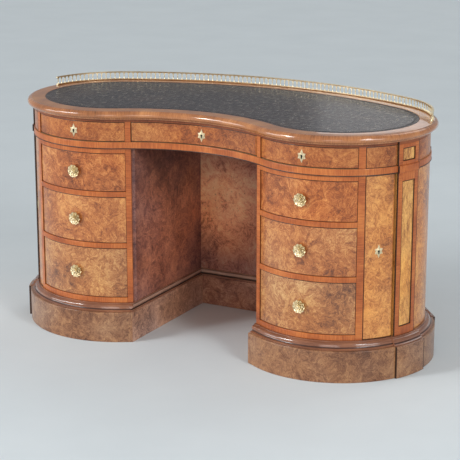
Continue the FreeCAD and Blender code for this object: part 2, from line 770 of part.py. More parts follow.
def centre_drawer():
    """Hollow-fronted drawer over the kneehole."""
    low, high = FRIEZE
    middle = "((%s) + (%s)) / 2" % (low, high)
    front_z = (low + " + front_gap", high + " - front_gap")
    side_z = (low + " + run_gap", high + " - drawer_side_low")
    bottom_z = (low + " + drawer_bottom_up", low + " + drawer_bottom_up + drawer_bottom_thick")
    outer = disc("centre_outer", "0", "hollow_y", "centre_inner_radius", front_z)
    hollow = disc("centre_hollow", "0", "hollow_y", "centre_face_radius", front_z)
    half = "(kneehole_half - front_gap)"
    zone = box("centre_zone", ("-" + half, half), ("hollow_y", "0"), front_z)
    blank = common("centre_blank", cut("centre_arc", outer, hollow), zone)
    slot = key_slot("centre_key", ("-front_thick - 2", "1"))
    bore = faced("centre_bore", [slot], "0", "centre_face_y", middle, -90)
    node("centre_frieze_drawer_front", cut("centre_front", blank, bore))

    clear = disc("centre_clear", "0", "hollow_y", "centre_inner_radius", (low, high))
    wide = "(kneehole_half - side_gap)"
    narrow = "(kneehole_half - side_gap - drawer_side_thick)"
    back_y = "(kneehole_back_y - centre_drawer_short)"
    solids = []
    for part, x, y, part_z in (
            ("right", (narrow, wide), ("hollow_y", back_y), side_z),
            ("left", ("-" + wide, "-" + narrow), ("hollow_y", back_y), side_z),
            ("bottom", ("-" + narrow, narrow), ("hollow_y", back_y + " - drawer_side_thick"), bottom_z)):
        plank = box("centre_%s_plank" % part, x, y, part_z)
        solids.append(cut("centre_" + part, plank, clear))
    board_y = (back_y + " - drawer_side_thick", back_y)
    solids.append(box("centre_back", ("-" + narrow, narrow), board_y, side_z))
    node("centre_frieze_drawer_box", group("centre_case", solids))
    metal = faced("centre_metal", [STAR, CENTRE_LOCK], "0", "centre_face_y - plate_seat", middle, -90)
    node("centre_frieze_drawer_lock", metal)


centre_drawer()

# End doors, hung on pins at their pilaster side


def end_door():
    """Curved right-hand door with a half-round hinge edge, its lock and its pins."""
    z = ("base_z + door_gap", "frieze_base_z - door_gap")
    lock_z = "(middle_drawer_z + upper_rail_z) / 2"
    leaf = lobe_sector("leaf", "door_inner_radius", "door_radius", z, "door_start", "pivot_angle")
    pivot_x = "lobe_x + pivot_radius * cos(pivot_angle * 1 deg)"
    pivot_y = "lobe_y + pivot_radius * sin(pivot_angle * 1 deg)"
    edge = disc("hinge_edge", pivot_x, pivot_y, "door_half", z)
    sockets = []
    pins = []
    socket_deep = "(pin_length + 1)"
    for name, foot, head, pin_z in (
            ("low", "base_z", "base_z + " + socket_deep, ("base_z", "base_z + pin_length")),
            ("high", "frieze_base_z - " + socket_deep, "frieze_base_z",
             ("frieze_base_z - pin_length", "frieze_base_z"))):
        socket_radius = "pin_radius + pin_clearance"
        sockets.append(disc(name + "_socket", pivot_x, pivot_y, socket_radius, (foot, head)))
        pins.append(disc(name + "_pin", pivot_x, pivot_y, "pin_radius", pin_z))
    drilled = cut("drilled", fuse("leaf_edge", [leaf, edge]), fuse("sockets", sockets))
    turn = "door_middle * 1 deg"
    face_x = "lobe_x + door_radius * cos(%s)" % turn
    face_y = "lobe_y + door_radius * sin(%s)" % turn
    slot = key_slot("door_key", ("-shell_thick - 2", "1"))
    bore = faced("door_bore", [slot], face_x, face_y, lock_z, size("door_middle"))
    door = cut("door", drilled, bore)
    metal = faced("door_metal", [STAR, DOOR_LOCK], face_x, face_y, lock_z, size("door_middle"))
    node("right_door", door)
    node("left_door", mirrored("door_left", door))
    node("right_door_lock", metal)
    node("left_door_lock", mirrored("door_metal_left", metal))
    node("door_pins", both("pins", pins))


end_door()
DOC.recompute()

# Check and write one file per node

os.makedirs("parts", exist_ok=True)
for thing in DOC.Objects:
    if "Invalid" in thing.State or "Error" in thing.State:
        raise RuntimeError("%s did not build: %s" % (thing.Name, thing.State))
for thing in NODES:
    if thing.Shape.isNull() or not thing.Shape.isValid():
        raise RuntimeError("%s has no valid shape" % thing.Label)
    thing.Shape.exportStep("parts/%s.step" % thing.Label)
print("%d nodes" % len(NODES))
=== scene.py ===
import math

import bmesh
import bpy
from mathutils import Matrix, Vector


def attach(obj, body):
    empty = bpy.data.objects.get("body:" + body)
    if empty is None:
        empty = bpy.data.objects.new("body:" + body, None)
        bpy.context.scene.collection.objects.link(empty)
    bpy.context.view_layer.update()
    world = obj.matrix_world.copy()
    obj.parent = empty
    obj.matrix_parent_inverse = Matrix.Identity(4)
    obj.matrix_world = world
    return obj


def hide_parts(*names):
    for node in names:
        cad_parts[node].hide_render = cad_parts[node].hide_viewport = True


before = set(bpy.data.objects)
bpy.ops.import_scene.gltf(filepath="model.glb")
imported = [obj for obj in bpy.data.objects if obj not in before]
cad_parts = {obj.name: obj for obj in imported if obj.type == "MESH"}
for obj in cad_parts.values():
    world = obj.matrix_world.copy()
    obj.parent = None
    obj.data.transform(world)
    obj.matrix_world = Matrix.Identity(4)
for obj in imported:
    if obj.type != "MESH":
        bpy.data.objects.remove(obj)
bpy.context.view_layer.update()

SCENE = bpy.context.scene

# Plan of the kidney, in metres: two lobes, a hollow front and a bowed back, all tangent

LOBE_RADIUS, LOBE_X = 0.272, 0.391
HOLLOW_RADIUS, BACK_RADIUS = 0.472, 1.136
BACK_RUN = math.sqrt((BACK_RADIUS - LOBE_RADIUS) ** 2 - LOBE_X ** 2)
LOBE_Y = (LOBE_RADIUS + BACK_RUN - BACK_RADIUS) / 2
BACK_Y = LOBE_Y - BACK_RUN
HOLLOW_Y = LOBE_Y - math.sqrt((HOLLOW_RADIUS + LOBE_RADIUS) ** 2 - LOBE_X ** 2)
BACK_TURN = math.degrees(math.atan2(LOBE_Y - BACK_Y, LOBE_X))
FRONT_TURN = math.degrees(math.atan2(LOBE_Y - HOLLOW_Y, LOBE_X))
HOLLOW_X = HOLLOW_RADIUS * math.cos(math.radians(FRONT_TURN))
LOBE_STEP, HOLLOW_POINTS, BACK_POINTS, ENTRY_STEPS = 1.5, 40, 60, 5

# Heights of the storeys, in metres, from the floor up

PLINTH_TOP, MOULDING_HIGH, RAIL_HIGH, STRIP_HIGH = 0.098, 0.024, 0.016, 0.015
DRAWER_HIGH = (("bottom", 0.162), ("middle", 0.150), ("top", 0.123))
FRIEZE_BASE_HIGH, FRIEZE_DRAWER_HIGH, SUBTOP_HIGH, TOP_THICK = 0.021, 0.063, 0.010, 0.026
CARCASE_FOOT = PLINTH_TOP + MOULDING_HIGH
DRAWERS, RAILS = {}, []
reached = CARCASE_FOOT
for storey, tall in DRAWER_HIGH:
    RAILS.append((reached, reached + RAIL_HIGH))
    DRAWERS[storey] = (reached + RAIL_HIGH, reached + RAIL_HIGH + tall)
    reached += RAIL_HIGH + tall
RAIL_LOW = reached + STRIP_HIGH
RAILS.append((reached, RAIL_LOW))
FRIEZE_LOW = RAIL_LOW + FRIEZE_BASE_HIGH
FRIEZE_HIGH = FRIEZE_LOW + FRIEZE_DRAWER_HIGH
TOP_LOW = FRIEZE_HIGH + SUBTOP_HIGH
WRITING = TOP_LOW + TOP_THICK
LOCK_Z = 0.391

# Uprights, in metres from the middle, and turns round a lobe, in degrees

KNEE_X, KNEE_Y = 0.2185, 0.182
BAY_LEFT, BAY_RIGHT = 0.234, 0.5495
FRONT_START, FRONT_END = -125.44, -54.16
BAY_END, STILE_END = -54.36, -49.8
DOOR_START, DOOR_PIVOT = -49.6, -30.5
POST, BACK_POST = (-28.3, -10.0), (35.0, 53.0)
POST_BORDER, FOOT_SPREAD, DARK_RETURN = 3.6, 2.4, 0.32
SIDES = ((1, "right"), (-1, "left"))

# Distances out of the carcase face, thicknesses and margins, in metres

SHELL, KNEE_BOARD, PLINTH_THICK = 0.020, 0.0155, 0.018
GAP, RECESS = 0.001, 0.003
DOOR_FACE, DOOR_BACK = -0.001, -0.0195
RAIL_PROUD, POST_PROUD, POST_SUNK = 0.004, 0.007, 0.003
PLINTH_OUT, KNEE_PLINTH_OUT, FOOT_BACK = 0.031, 0.013, 0.020
POST_MARGIN, BLOCK_MARGIN = 0.026, 0.012
BEAD_WIDE, BEAD_LOW = 0.0024, 0.0012

# Edge of a board: where its rim ends, in eases, its front and core strips, and a round edge in degrees

RIM_END, FRONT_STRIP, CORE_STRIPS = 2.5, 3, (0, 6, 7)
HALF_ROUND = range(0, 81, 10)


def turns(start, end, count):
    """Even steps from one turn to another, both in degrees, given in radians."""
    return [math.radians(start + (end - start) * i / (count - 1)) for i in range(count)]


def round_face(x, y, radius, side, steps):
    """Points and outward directions of a carcase face that bows outwards round a centre."""
    face = []
    for turn in steps:
        nx, ny = side * math.cos(turn), math.sin(turn)
        face.append((x + radius * nx, y + radius * ny, nx, ny))
    return face


def lobe_face(side, start, end):
    """Face round one lobe."""
    count = max(2, int(abs(end - start) / LOBE_STEP) + 2)
    return round_face(side * LOBE_X, LOBE_Y, LOBE_RADIUS, side, turns(start, end, count))


def hollow_face(start_x, end_x, count):
    """Points and outward directions of the hollow front."""
    face = []
    for i in range(count):
        x = start_x + (end_x - start_x) * i / (count - 1)
        rise = math.sqrt(HOLLOW_RADIUS ** 2 - x ** 2)
        face.append((x, HOLLOW_Y + rise, -x / HOLLOW_RADIUS, -rise / HOLLOW_RADIUS))
    return face


def rear_face(start):
    """Face from a turn on the right lobe, round the back, to the same turn on the left lobe."""
    bow = round_face(0.0, BACK_Y, BACK_RADIUS, 1, turns(BACK_TURN, 180 - BACK_TURN, BACK_POINTS))
    return lobe_face(1, start, BACK_TURN)[:-1] + bow + lobe_face(-1, BACK_TURN, start)[1:]


def arc(centre, radii, start, end, count):
    """Round stretch of a section: points on an ellipse, turning from start to end in degrees."""
    (x, y), (wide, tall) = centre, radii
    return [(x + wide * math.cos(turn), y + tall * math.sin(turn)) for turn in turns(start, end, count)]


def run_lengths(points, closed):
    """Distance along a line of points, with the closing step last where it closes."""
    run = [0.0]
    loop = list(points) + ([points[0]] if closed else [])
    for a, b in zip(loop, loop[1:]):
        run.append(run[-1] + (Vector(a) - Vector(b)).length)
    return run


def near_end(end, inward, ease):
    """Two places just inside the end of a face, where its eased edge and its rim stop."""
    step = math.dist(end[:2], inward[:2])
    places = []
    for reach in (ease, RIM_END * ease):
        share = min(reach / step, 0.9)
        places.append(tuple(a + (b - a) * share for a, b in zip(end, inward)))
    return places


def board_stops(face, front, back, ease, round_end):
    """Places along a board, each with how far out its front and its back lie there."""
    stops = [(face[0], front - ease, back)]
    stops += [(place, front, back) for place in near_end(face[0], face[1], ease) + face[1:-1]]
    end, inward = face[-1], face[-2]
    if not round_end:
        stops += [(place, front, back) for place in reversed(near_end(end, inward, ease))]
        return stops + [(end, front - ease, back)]
    middle, half = (front + back) / 2, (front - back) / 2
    run = Vector((end[0] - inward[0], end[1] - inward[1])).normalized()
    for turn in HALF_ROUND:
        reach, thick = half * math.sin(math.radians(turn)), half * math.cos(math.radians(turn))
        place = (end[0] + run.x * reach, end[1] + run.y * reach, end[2], end[3])
        stops.append((place, middle + thick, middle - thick))
    return stops


def shown(name, data):
    """New object in the scene."""
    thing = bpy.data.objects.new(name, data)
    SCENE.collection.objects.link(thing)
    return thing


class Piece:
    """Faces gathered into one mesh, each with its own finish."""

    def __init__(self, name):
        self.name = name
        self.mesh = bmesh.new()
        self.grain = self.mesh.loops.layers.uv.new("Grain")
        self.finishes = []

    def index(self, finish):
        """Number of a finish on this piece, which takes it on at its first use."""
        if finish not in self.finishes:
            self.finishes.append(finish)
        return self.finishes.index(finish)

    def skin(self, rows, finish, loop=False, ring=True, cap_finish=None):
        """Join rows of points: a loop closes the path, a ring closes each row, caps close what is open.

        A finish is a material, or a function that gives one for a face's row and strip.
        """
        verts = [[self.mesh.verts.new(point) for point in row] for row in rows]
        along = run_lengths([row[0] for row in rows], loop)
        across = run_lengths(rows[len(rows) // 2], ring)
        count, width = len(rows), len(rows[0])
        for i in range(count if loop else count - 1):
            this_row, next_row = verts[i], verts[(i + 1) % count]
            for j in range(width if ring else width - 1):
                k = (j + 1) % width
                face = self.mesh.faces.new((this_row[j], next_row[j], next_row[k], this_row[k]))
                face.material_index = self.index(finish(i, j) if callable(finish) else finish)
                marks = ((i, j), (i + 1, j), (i + 1, j + 1), (i, j + 1))
                for corner, (u, v) in zip(face.loops, marks):
                    corner[self.grain].uv = (along[u], across[v])
        if loop and ring:
            return
        ends = [verts[0], verts[-1]]
        if loop:
            ends = [[row[0] for row in verts], [row[-1] for row in verts]]
        for end in ends:
            face = self.mesh.faces.new(end)
            face.material_index = self.index(cap_finish or finish)
            for corner in face.loops:
                corner[self.grain].uv = corner.vert.co.xy

    def board(self, face, low, high, front, back, finish, ease=0.0007, limits=None, round_end=False,
              rim=None, core=None):
        """Curved board along a carcase face, with eased edges and, for a door, a half-round hinge edge.

        Limits hold it between two distances from the middle of the desk. A rim finish lines the front
        all round, a core finish covers the upper and lower edges, the back and the ends.
        """
        rows = []
        for (x, y, nx, ny), outer, inner in board_stops(face, front, back, ease, round_end):
            rim_low, rim_high = low + RIM_END * ease, high - RIM_END * ease
            section = ((inner, low), (outer - ease, low), (outer, low + ease), (outer, rim_low),
                       (outer, rim_high), (outer, high - ease), (outer - ease, high), (inner, high))
            row = []
            for offset, z in section:
                px, py = x + nx * offset, y + ny * offset
                if limits:
                    px = math.copysign(min(max(abs(px), limits[0]), limits[1]), px)
                row.append(Vector((px, py, z)))
            rows.append(row)

        def chosen(i, j):
            if core and j in CORE_STRIPS:
                return core
            if rim and (j != FRONT_STRIP or i < 2 or i > len(rows) - 4):
                return rim
            return finish

        self.skin(rows, chosen, cap_finish=core or finish)

    def sweep(self, face, section, finish, **how):
        """Section of (offset, height) points carried along a carcase face."""
        rows = []
        for x, y, nx, ny in face:
            rows.append([Vector((x + nx * offset, y + ny * offset, z)) for offset, z in section])
        self.skin(rows, finish, **how)

    def turned(self, profile, finish, place, segments):
        """Lathe-turned shape on an axis that points out of the face it stands on."""
        rows = []
        for i in range(segments):
            turn = math.tau * i / segments
            rows.append([place @ Vector((r * math.cos(turn), r * math.sin(turn), z)) for r, z in profile])
        self.skin(rows, finish, loop=True, ring=False)

    def block(self, size, place, finish, ease=0.0008):
        """Straight block with eased edges, set by its two corners in its own directions."""
        (x0, y0, z0), (x1, y1, z1) = size
        rows = []
        for z, inset in ((z0, ease), (z0 + ease, 0), (z1 - ease, 0), (z1, ease)):
            ring = ((x0 + inset, y0 + ease), (x0 + ease, y0 + inset), (x1 - ease, y0 + inset),
                    (x1 - inset, y0 + ease), (x1 - inset, y1 - ease), (x1 - ease, y1 - inset),
                    (x0 + ease, y1 - inset), (x0 + inset, y1 - ease))
            rows.append([place @ Vector((x, y, z)) for x, y in ring])
        self.skin(rows, finish)

    def take(self, mesh, place, finish):
        """Add a finished mesh, moved to its place."""
        verts = [self.mesh.verts.new(place @ vertex.co) for vertex in mesh.vertices]
        for polygon in mesh.polygons:
            face = self.mesh.faces.new([verts[i] for i in polygon.vertices])
            face.material_index = self.index(finish)

    def gathered(self):
        """The faces as a plain mesh, all pointing outwards."""
        bmesh.ops.recalc_face_normals(self.mesh, faces=self.mesh.faces)
        mesh = bpy.data.meshes.new(self.name)
        self.mesh.to_mesh(mesh)
        self.mesh.free()
        return mesh

    def helper(self):
        """Object for a Geometry Nodes tree to repeat."""
        return shown(self.name, self.gathered())

    def done(self, body, slot, *nodes, sharp=52):
        """Turn the faces into an object that rides on a body and stands for its CAD nodes."""
        mesh = self.gathered()
        for finish in self.finishes:
            mesh.materials.append(finish)
        mesh.shade_smooth()
        mesh.set_sharp_from_angle(angle=math.radians(sharp))
        piece = shown(self.name, mesh)
        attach(piece, body)
        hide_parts(*nodes)


# Finishes


def add_node(tree, kind, links, settings):
    """New node: links give each socket a value or another node's output, settings are its options."""
    node = tree.nodes.new(kind)
    for words, value in settings.items():
        setattr(node, words, value)
    for key, value in links:
        if isinstance(value, bpy.types.NodeSocket):
            tree.links.new(value, node.inputs[key])
        else:
            node.inputs[key].default_value = value
    return node


class Finish:
    """A material whose nodes are added one after another."""

    def __init__(self, name, **settings):
        self.material = bpy.data.materials.new(name)
        self.material.use_nodes = True
        self.tree = self.material.node_tree
        self.shader = self.tree.nodes["Principled BSDF"]
        for words, value in settings.items():
            self.shader.inputs[words.replace("_", " ")].default_value = value

    def add(self, kind, links=(), **settings):
        """One shader node."""
        return add_node(self.tree, "ShaderNode" + kind, links, settings)

    def place(self, scale=(1, 1, 1), shift=(0, 0, 0), own_map=False):
        """Where a pattern lies: in the desk's own space, or along the piece's own grain map."""
        if own_map:
            source = self.add("UVMap", uv_map="Grain").outputs["UV"]
        else:
            source = self.add("TexCoord").outputs["Object"]
        links = (("Vector", source), ("Location", shift), ("Scale", scale))
        return self.add("Mapping", links).outputs["Vector"]

    def noise(self, at, scale, detail=4.0, rough=0.55, twist=0.0, output="Fac"):
        """Cloudy noise."""
        links = (("Vector", at), ("Scale", scale), ("Detail", detail), ("Roughness", rough),
                 ("Distortion", twist))
        return self.add("TexNoise", links).outputs[output]

    def cells(self, at, scale):
        """Distance to the nearest of scattered points."""
        return self.add("TexVoronoi", (("Vector", at), ("Scale", scale))).outputs["Distance"]

    def maths(self, kind, a, b=0.0, c=0.0):
        """One sum on numbers."""
        return self.add("Math", ((0, a), (1, b), (2, c)), operation=kind).outputs[0]

    def scaled(self, a, times, plus=None):
        """A number times a second one, and a third added to that."""
        if plus is None:
            return self.maths("MULTIPLY", a, times)
        return self.maths("MULTIPLY_ADD", a, times, plus)

    def ramp(self, fac, *stops):
        """Colours laid along a number."""
        node = self.add("ValToRGB", (("Fac", fac),))
        band = node.color_ramp
        while len(band.elements) < len(stops):
            band.elements.new(0.5)
        for element, (spot, colour) in zip(band.elements, stops):
            element.position = spot
            element.color = (*colour, 1)
        return node.outputs["Color"]

    def level(self, fac, low, high):
        """Stretch the range from low to high to the range from 0 to 1."""
        return self.add("MapRange", ((0, fac), (1, low), (2, high))).outputs[0]

    def mix(self, fac, a, b, kind="MIX"):
        """Blend two colours."""
        links = [(0, fac)]
        for key, colour in ((6, a), (7, b)):
            links.append((key, (*colour, 1) if isinstance(colour, tuple) else colour))
        return self.add("Mix", links, data_type="RGBA", blend_type=kind).outputs[2]

    def warp(self, at, scale, amount):
        """Push places about by noise, so that a pattern flows."""
        stir = self.noise(at, scale, 3.0, output="Color")
        centred = self.add("VectorMath", ((0, stir), (1, (0.5, 0.5, 0.5))), operation="SUBTRACT")
        links = ((0, centred.outputs[0]), (1, (amount,) * 3), (2, at))
        return self.add("VectorMath", links, operation="MULTIPLY_ADD").outputs[0]

    def bump(self, height, strength, depth):
        """Fine relief."""
        links = (("Height", height), ("Strength", strength), ("Distance", depth))
        self.into("Normal", self.add("Bump", links).outputs[0])

    def into(self, socket, value):
        """Feed one of the shader's sockets."""
        self.tree.links.new(value, self.shader.inputs[socket])


def half_way(a, b):
    """Colour between two colours."""
    return tuple(0.5 * (x + y) for x, y in zip(a, b))


def burr(name, pale, warm, deep, shift, coarse=1.0, coat=0.35, stretch=(1, 1, 1), painted_shade_heart=None):
    """Burr veneer: soft clouds, fine flowing swirls, clustered dark eyes and pores under polish.

    A painted shade heart keeps a lit middle on each mirrored half of the board and darkens the rest with
    painted shade: its centre, its reach, where the shade is full, and the shade.
    """
    f = Finish(name, Coat_Weight=coat, Coat_Roughness=0.14, Specular_IOR_Level=0.3)
    at = f.place(stretch, shift)
    bent = f.warp(at, 13.0 * coarse, 0.085)
    curled = f.warp(bent, 42.0 * coarse, 0.022)
    cloud = f.level(f.noise(f.warp(at, 5.0, 0.10), 6.5 * coarse, 3.0, 0.5), 0.30, 0.70)
    swirl = f.level(f.noise(curled, 34.0 * coarse, 5.0, 0.62, 0.9), 0.30, 0.70)
    figure = f.level(f.noise(curled, 95.0 * coarse, 4.0, 0.65, 1.4), 0.34, 0.66)
    wave = f.maths("SINE", f.scaled(figure, 3.0, f.scaled(swirl, 24.0)))
    lines = f.level(f.maths("ABSOLUTE", wave), 0.0, 0.6)
    tone = f.scaled(cloud, 0.27, f.scaled(swirl, 0.30))
    tone = f.scaled(figure, 0.30, tone)
    tone = f.scaled(lines, 0.15, f.maths("SUBTRACT", tone, 0.04))
    colour = f.ramp(tone, (0.20, deep), (0.36, half_way(deep, warm)), (0.50, warm),
                    (0.64, half_way(pale, warm)), (0.82, pale))
    drift = f.level(f.noise(f.place(shift=shift[::-1]), 4.2, 2.0, 0.5), 0.36, 0.64)
    tint = f.ramp(drift, (0.0, (1.0, 1.10, 1.22)), (1.0, (1.0, 0.93, 0.80)))
    colour = f.mix(1.0, colour, tint, "MULTIPLY")
    eyes = f.level(f.cells(f.warp(at, 60.0, 0.012), 150.0 * coarse), 0.08, 0.30)
    knots = f.level(f.noise(bent, 12.0 * coarse, 3.0), 0.47, 0.62)
    spots = f.scaled(f.maths("SUBTRACT", 1.0, eyes), knots)
    colour = f.mix(f.scaled(spots, 0.6), colour, deep)
    # Painted shade: darken the board away from a lit middle, towards the kneehole's corners
    if painted_shade_heart:
        centre, near, far, shade = painted_shade_heart
        halves = f.add("VectorMath", ((0, f.place()),), operation="ABSOLUTE").outputs[0]
        reach = f.add("VectorMath", ((0, halves), (1, centre)), operation="DISTANCE").outputs["Value"]
        edge = f.level(f.scaled(cloud, -0.08, reach), near, far)
        colour = f.mix(edge, colour, f.mix(1.0, colour, shade, "MULTIPLY"))
    pores = f.level(f.noise(at, 560.0, 3.0, 0.7), 0.36, 0.50)
    pore_colour = tuple(0.6 * c for c in deep)
    f.into("Base Color", f.mix(f.scaled(pores, -0.22, 0.22), colour, pore_colour))
    f.into("Roughness", f.scaled(figure, 0.12, 0.28))
    f.bump(f.scaled(pores, 0.6, f.scaled(lines, 0.4)), 0.10, 0.0004)
    return f.material


def straight(name, pale, warm, deep, stretch, shift=(0, 0, 0), own_map=False, gloss=0.32, coat=0.1):
    """Straight-grained wood: stretch is small along the grain and large across it."""
    f = Finish(name, Coat_Weight=coat, Coat_Roughness=0.07, Specular_IOR_Level=0.3)
    at = f.place(stretch, shift, own_map)
    bent = f.warp(at, 0.6, 0.5)
    streak = f.noise(bent, 1.0, 5.0, 0.6)
    fine = f.noise(bent, 4.5, 3.0, 0.65)
    broad = f.noise(f.place(shift=shift, own_map=own_map), 12.0, 3.0, 0.5)
    tone = f.scaled(streak, 0.75, f.scaled(fine, 0.35))
    tone = f.scaled(broad, 0.7, tone)
    colour = f.ramp(f.level(tone, 0.60, 1.20), (0.0, deep), (0.5, warm), (1.0, pale))
    f.into("Base Color", colour)
    f.into("Roughness", f.scaled(streak, 0.2, gloss - 0.1))
    f.bump(fine, 0.1, 0.0003)
    return f.material


def leather_finish():
    """Charcoal writing leather: navy ground, soft wrinkles and worn grain that glints."""
    f = Finish("writing_leather_charcoal", Coat_Weight=0.36, Coat_Roughness=0.22, Specular_IOR_Level=0.28)
    at = f.place()
    bloom = f.level(f.noise(at, 3.2, 4.0, 0.6, 0.8), 0.35, 0.68)
    fold = f.level(f.noise(f.warp(at, 14.0, 0.05), 36.0, 5.0, 0.68, 0.8), 0.34, 0.66)
    grain = f.noise(f.place((1.0, 0.6, 1.0)), 85.0, 3.0, 0.6, 0.5)
    scuff = f.level(grain, 0.50, 0.66)
    pebble = f.cells(f.warp(at, 240.0, 0.002), 330.0)
    colour = f.ramp(bloom, (0.0, (0.008, 0.007, 0.016)), (0.50, (0.018, 0.014, 0.022)),
                    (1.0, (0.058, 0.036, 0.034)))
    colour = f.mix(f.scaled(fold, 0.30), colour, (0.060, 0.050, 0.060))
    colour = f.mix(f.scaled(scuff, 0.17), colour, (0.230, 0.170, 0.135))
    crease = f.level(pebble, 0.25, 0.70)
    f.into("Base Color", f.mix(f.scaled(crease, 0.4), colour, (0.008, 0.007, 0.009)))
    f.into("Roughness", f.scaled(scuff, -0.26, 0.48))
    height = f.scaled(fold, 0.5, f.scaled(pebble, 0.2))
    f.bump(f.scaled(grain, 2.4, height), 1.0, 0.0030)
    return f.material


def brass_finish(name, bright, dull, tarnish):
    """Polished brass with soft cloudy tarnish and fine scratches."""
    f = Finish(name, Metallic=1.0)
    at = f.place()
    cloud = f.noise(at, 130.0, 5.0, 0.6)
    grime = f.level(f.noise(at, 55.0, 4.0, 0.6, 0.6), 0.42, 0.72)
    colour = f.ramp(f.level(cloud, 0.3, 0.7), (0.0, dull), (1.0, bright))
    f.into("Base Color", f.mix(f.scaled(grime, tarnish), colour, (0.20, 0.12, 0.05)))
    f.into("Roughness", f.scaled(cloud, 0.22, 0.30))
    f.bump(f.noise(at, 900.0, 3.0), 0.06, 0.0002)
    return f.material


# Burr veneers, each with its pale, warm and deep tone and its own stretch of the pattern

BURR = burr("burr_walnut", (0.72, 0.300, 0.088), (0.44, 0.122, 0.032), (0.115, 0.030, 0.012),
            (0.13, 0.41, 0.07))
# Middle and bottom drawers: other veneer leaves, with tones paler and greyer lower down as painted sheen of
# the floor's reflection
BURR_MIDDLE_PAINTED_SHEEN = burr("burr_walnut_middle_painted_sheen", (0.72, 0.36, 0.123), (0.44, 0.146, 0.045), (0.115, 0.036, 0.017),
                   (0.9, 0.2, 1.6), coat=0.7)
BURR_LOW_PAINTED_SHEEN = burr("burr_walnut_low_painted_sheen", (0.70, 0.40, 0.158), (0.43, 0.165, 0.058), (0.112, 0.041, 0.022),
                (2.0, 1.1, 0.5), coat=0.7)
BURR_FRIEZE = burr("burr_walnut_frieze", (0.62, 0.250, 0.070), (0.37, 0.104, 0.028), (0.100, 0.027, 0.011),
                   (1.7, 0.3, 2.2), coarse=1.1)
DRAWER_BURR = {"top": BURR, "middle": BURR_MIDDLE_PAINTED_SHEEN, "bottom": BURR_LOW_PAINTED_SHEEN, "frieze": BURR_FRIEZE}
BURR_DOOR = burr("burr_walnut_door", (0.86, 0.40, 0.105), (0.56, 0.192, 0.047), (0.155, 0.044, 0.016),
                 (3.1, 1.4, 0.6), coarse=0.9, coat=0.6)
BURR_PANEL = burr("pilaster_panel_burr", (0.95, 0.52, 0.150), (0.66, 0.285, 0.074), (0.22, 0.072, 0.022),
                  (4.1, 0.2, 1.3), stretch=(1.5, 1.5, 0.5))
BURR_PLINTH = burr("burr_walnut_plinth", (0.47, 0.26, 0.135), (0.26, 0.120, 0.066), (0.075, 0.031, 0.020),
                   (0.7, 2.6, 1.1), coarse=1.15)
# Kneehole plinth: a paler copy of the plinth burr as painted light, and a darker one as painted shade along
# the kneehole's back
KNEE_PLINTH_PAINTED_LIGHT = burr("kneehole_plinth_painted_light", (0.74, 0.45, 0.31), (0.46, 0.250, 0.170), (0.140, 0.070, 0.050),
                   (1.2, 2.1, 0.4), coarse=1.1)
KNEE_PLINTH_BACK_PAINTED_SHADE = burr("kneehole_plinth_back_painted_shade", (0.52, 0.25, 0.150), (0.30, 0.118, 0.072),
                        (0.090, 0.036, 0.026), (0.3, 1.3, 2.4), coarse=0.9)
# Kneehole side and back: burr brightened as painted light where the lamps do not reach, with painted shade
# away from a lit middle
KNEE_SIDE_PAINTED_LIGHT_AND_SHADE = burr("kneehole_side_painted_light_and_shade", (0.68, 0.270, 0.150), (0.33, 0.120, 0.080), (0.080, 0.032, 0.030),
                 (2.3, 0.9, 3.0), coarse=0.7, coat=0.25,
                 painted_shade_heart=((KNEE_X, 0.03, 0.30), 0.04, 0.24, (0.50, 0.58, 0.76)))
KNEE_BACK_PAINTED_LIGHT_AND_SHADE = burr("kneehole_back_painted_light_and_shade", (1.00, 0.58, 0.29), (0.90, 0.335, 0.165), (0.210, 0.068, 0.044),
                 (0.4, 1.9, 2.6), coarse=0.6, coat=0.25,
                 painted_shade_heart=((0.16, KNEE_Y, 0.34), 0.03, 0.17, (0.36, 0.37, 0.52)))

# Straight-grained bands, mouldings, stringing and lining

UPRIGHT_GRAIN, LEVEL_GRAIN = (480, 480, 26), (26, 26, 480)
BORDER_GRAIN, MOULD_GRAIN = (520, 30, 30), (16, 420, 420)
BAND_TONES = ((0.66, 0.235, 0.060), (0.44, 0.118, 0.032), (0.20, 0.044, 0.016))
RAIL_BAND = straight("crossband_upright_grain", *BAND_TONES, UPRIGHT_GRAIN)
STILE_BAND = straight("crossband_level_grain", *BAND_TONES, LEVEL_GRAIN, (0.4, 0.2, 0.1))
# Cornice band: crossbanding darkened as painted shade under the top's overhang
CORNICE_BAND_PAINTED_SHADE = straight("crossband_cornice_painted_shade", (0.34, 0.110, 0.036), (0.24, 0.066, 0.024),
                        (0.11, 0.030, 0.014), UPRIGHT_GRAIN, (0.2, 0.6, 0.3))
TOP_BAND = straight("crossband_top_border", (0.62, 0.285, 0.085), (0.40, 0.145, 0.042),
                    (0.150, 0.050, 0.018), BORDER_GRAIN, own_map=True, coat=0.5)
NOSE_BAND = straight("crossband_top_nose", (0.66, 0.300, 0.115), (0.39, 0.148, 0.056),
                     (0.110, 0.042, 0.019), BORDER_GRAIN, own_map=True, gloss=0.20, coat=0.8)
MOULD = straight("moulding_walnut", (0.40, 0.175, 0.088), (0.24, 0.095, 0.050), (0.085, 0.034, 0.022),
                 MOULD_GRAIN, own_map=True, gloss=0.18, coat=0.9)
# Hollow of the moulding: a darker copy of the moulding, as painted shade in the cove
MOULD_HOLLOW_PAINTED_SHADE = straight("moulding_hollow_painted_shade", (0.120, 0.052, 0.030), (0.070, 0.028, 0.018),
                        (0.030, 0.013, 0.010), MOULD_GRAIN, own_map=True, gloss=0.30, coat=0.3)
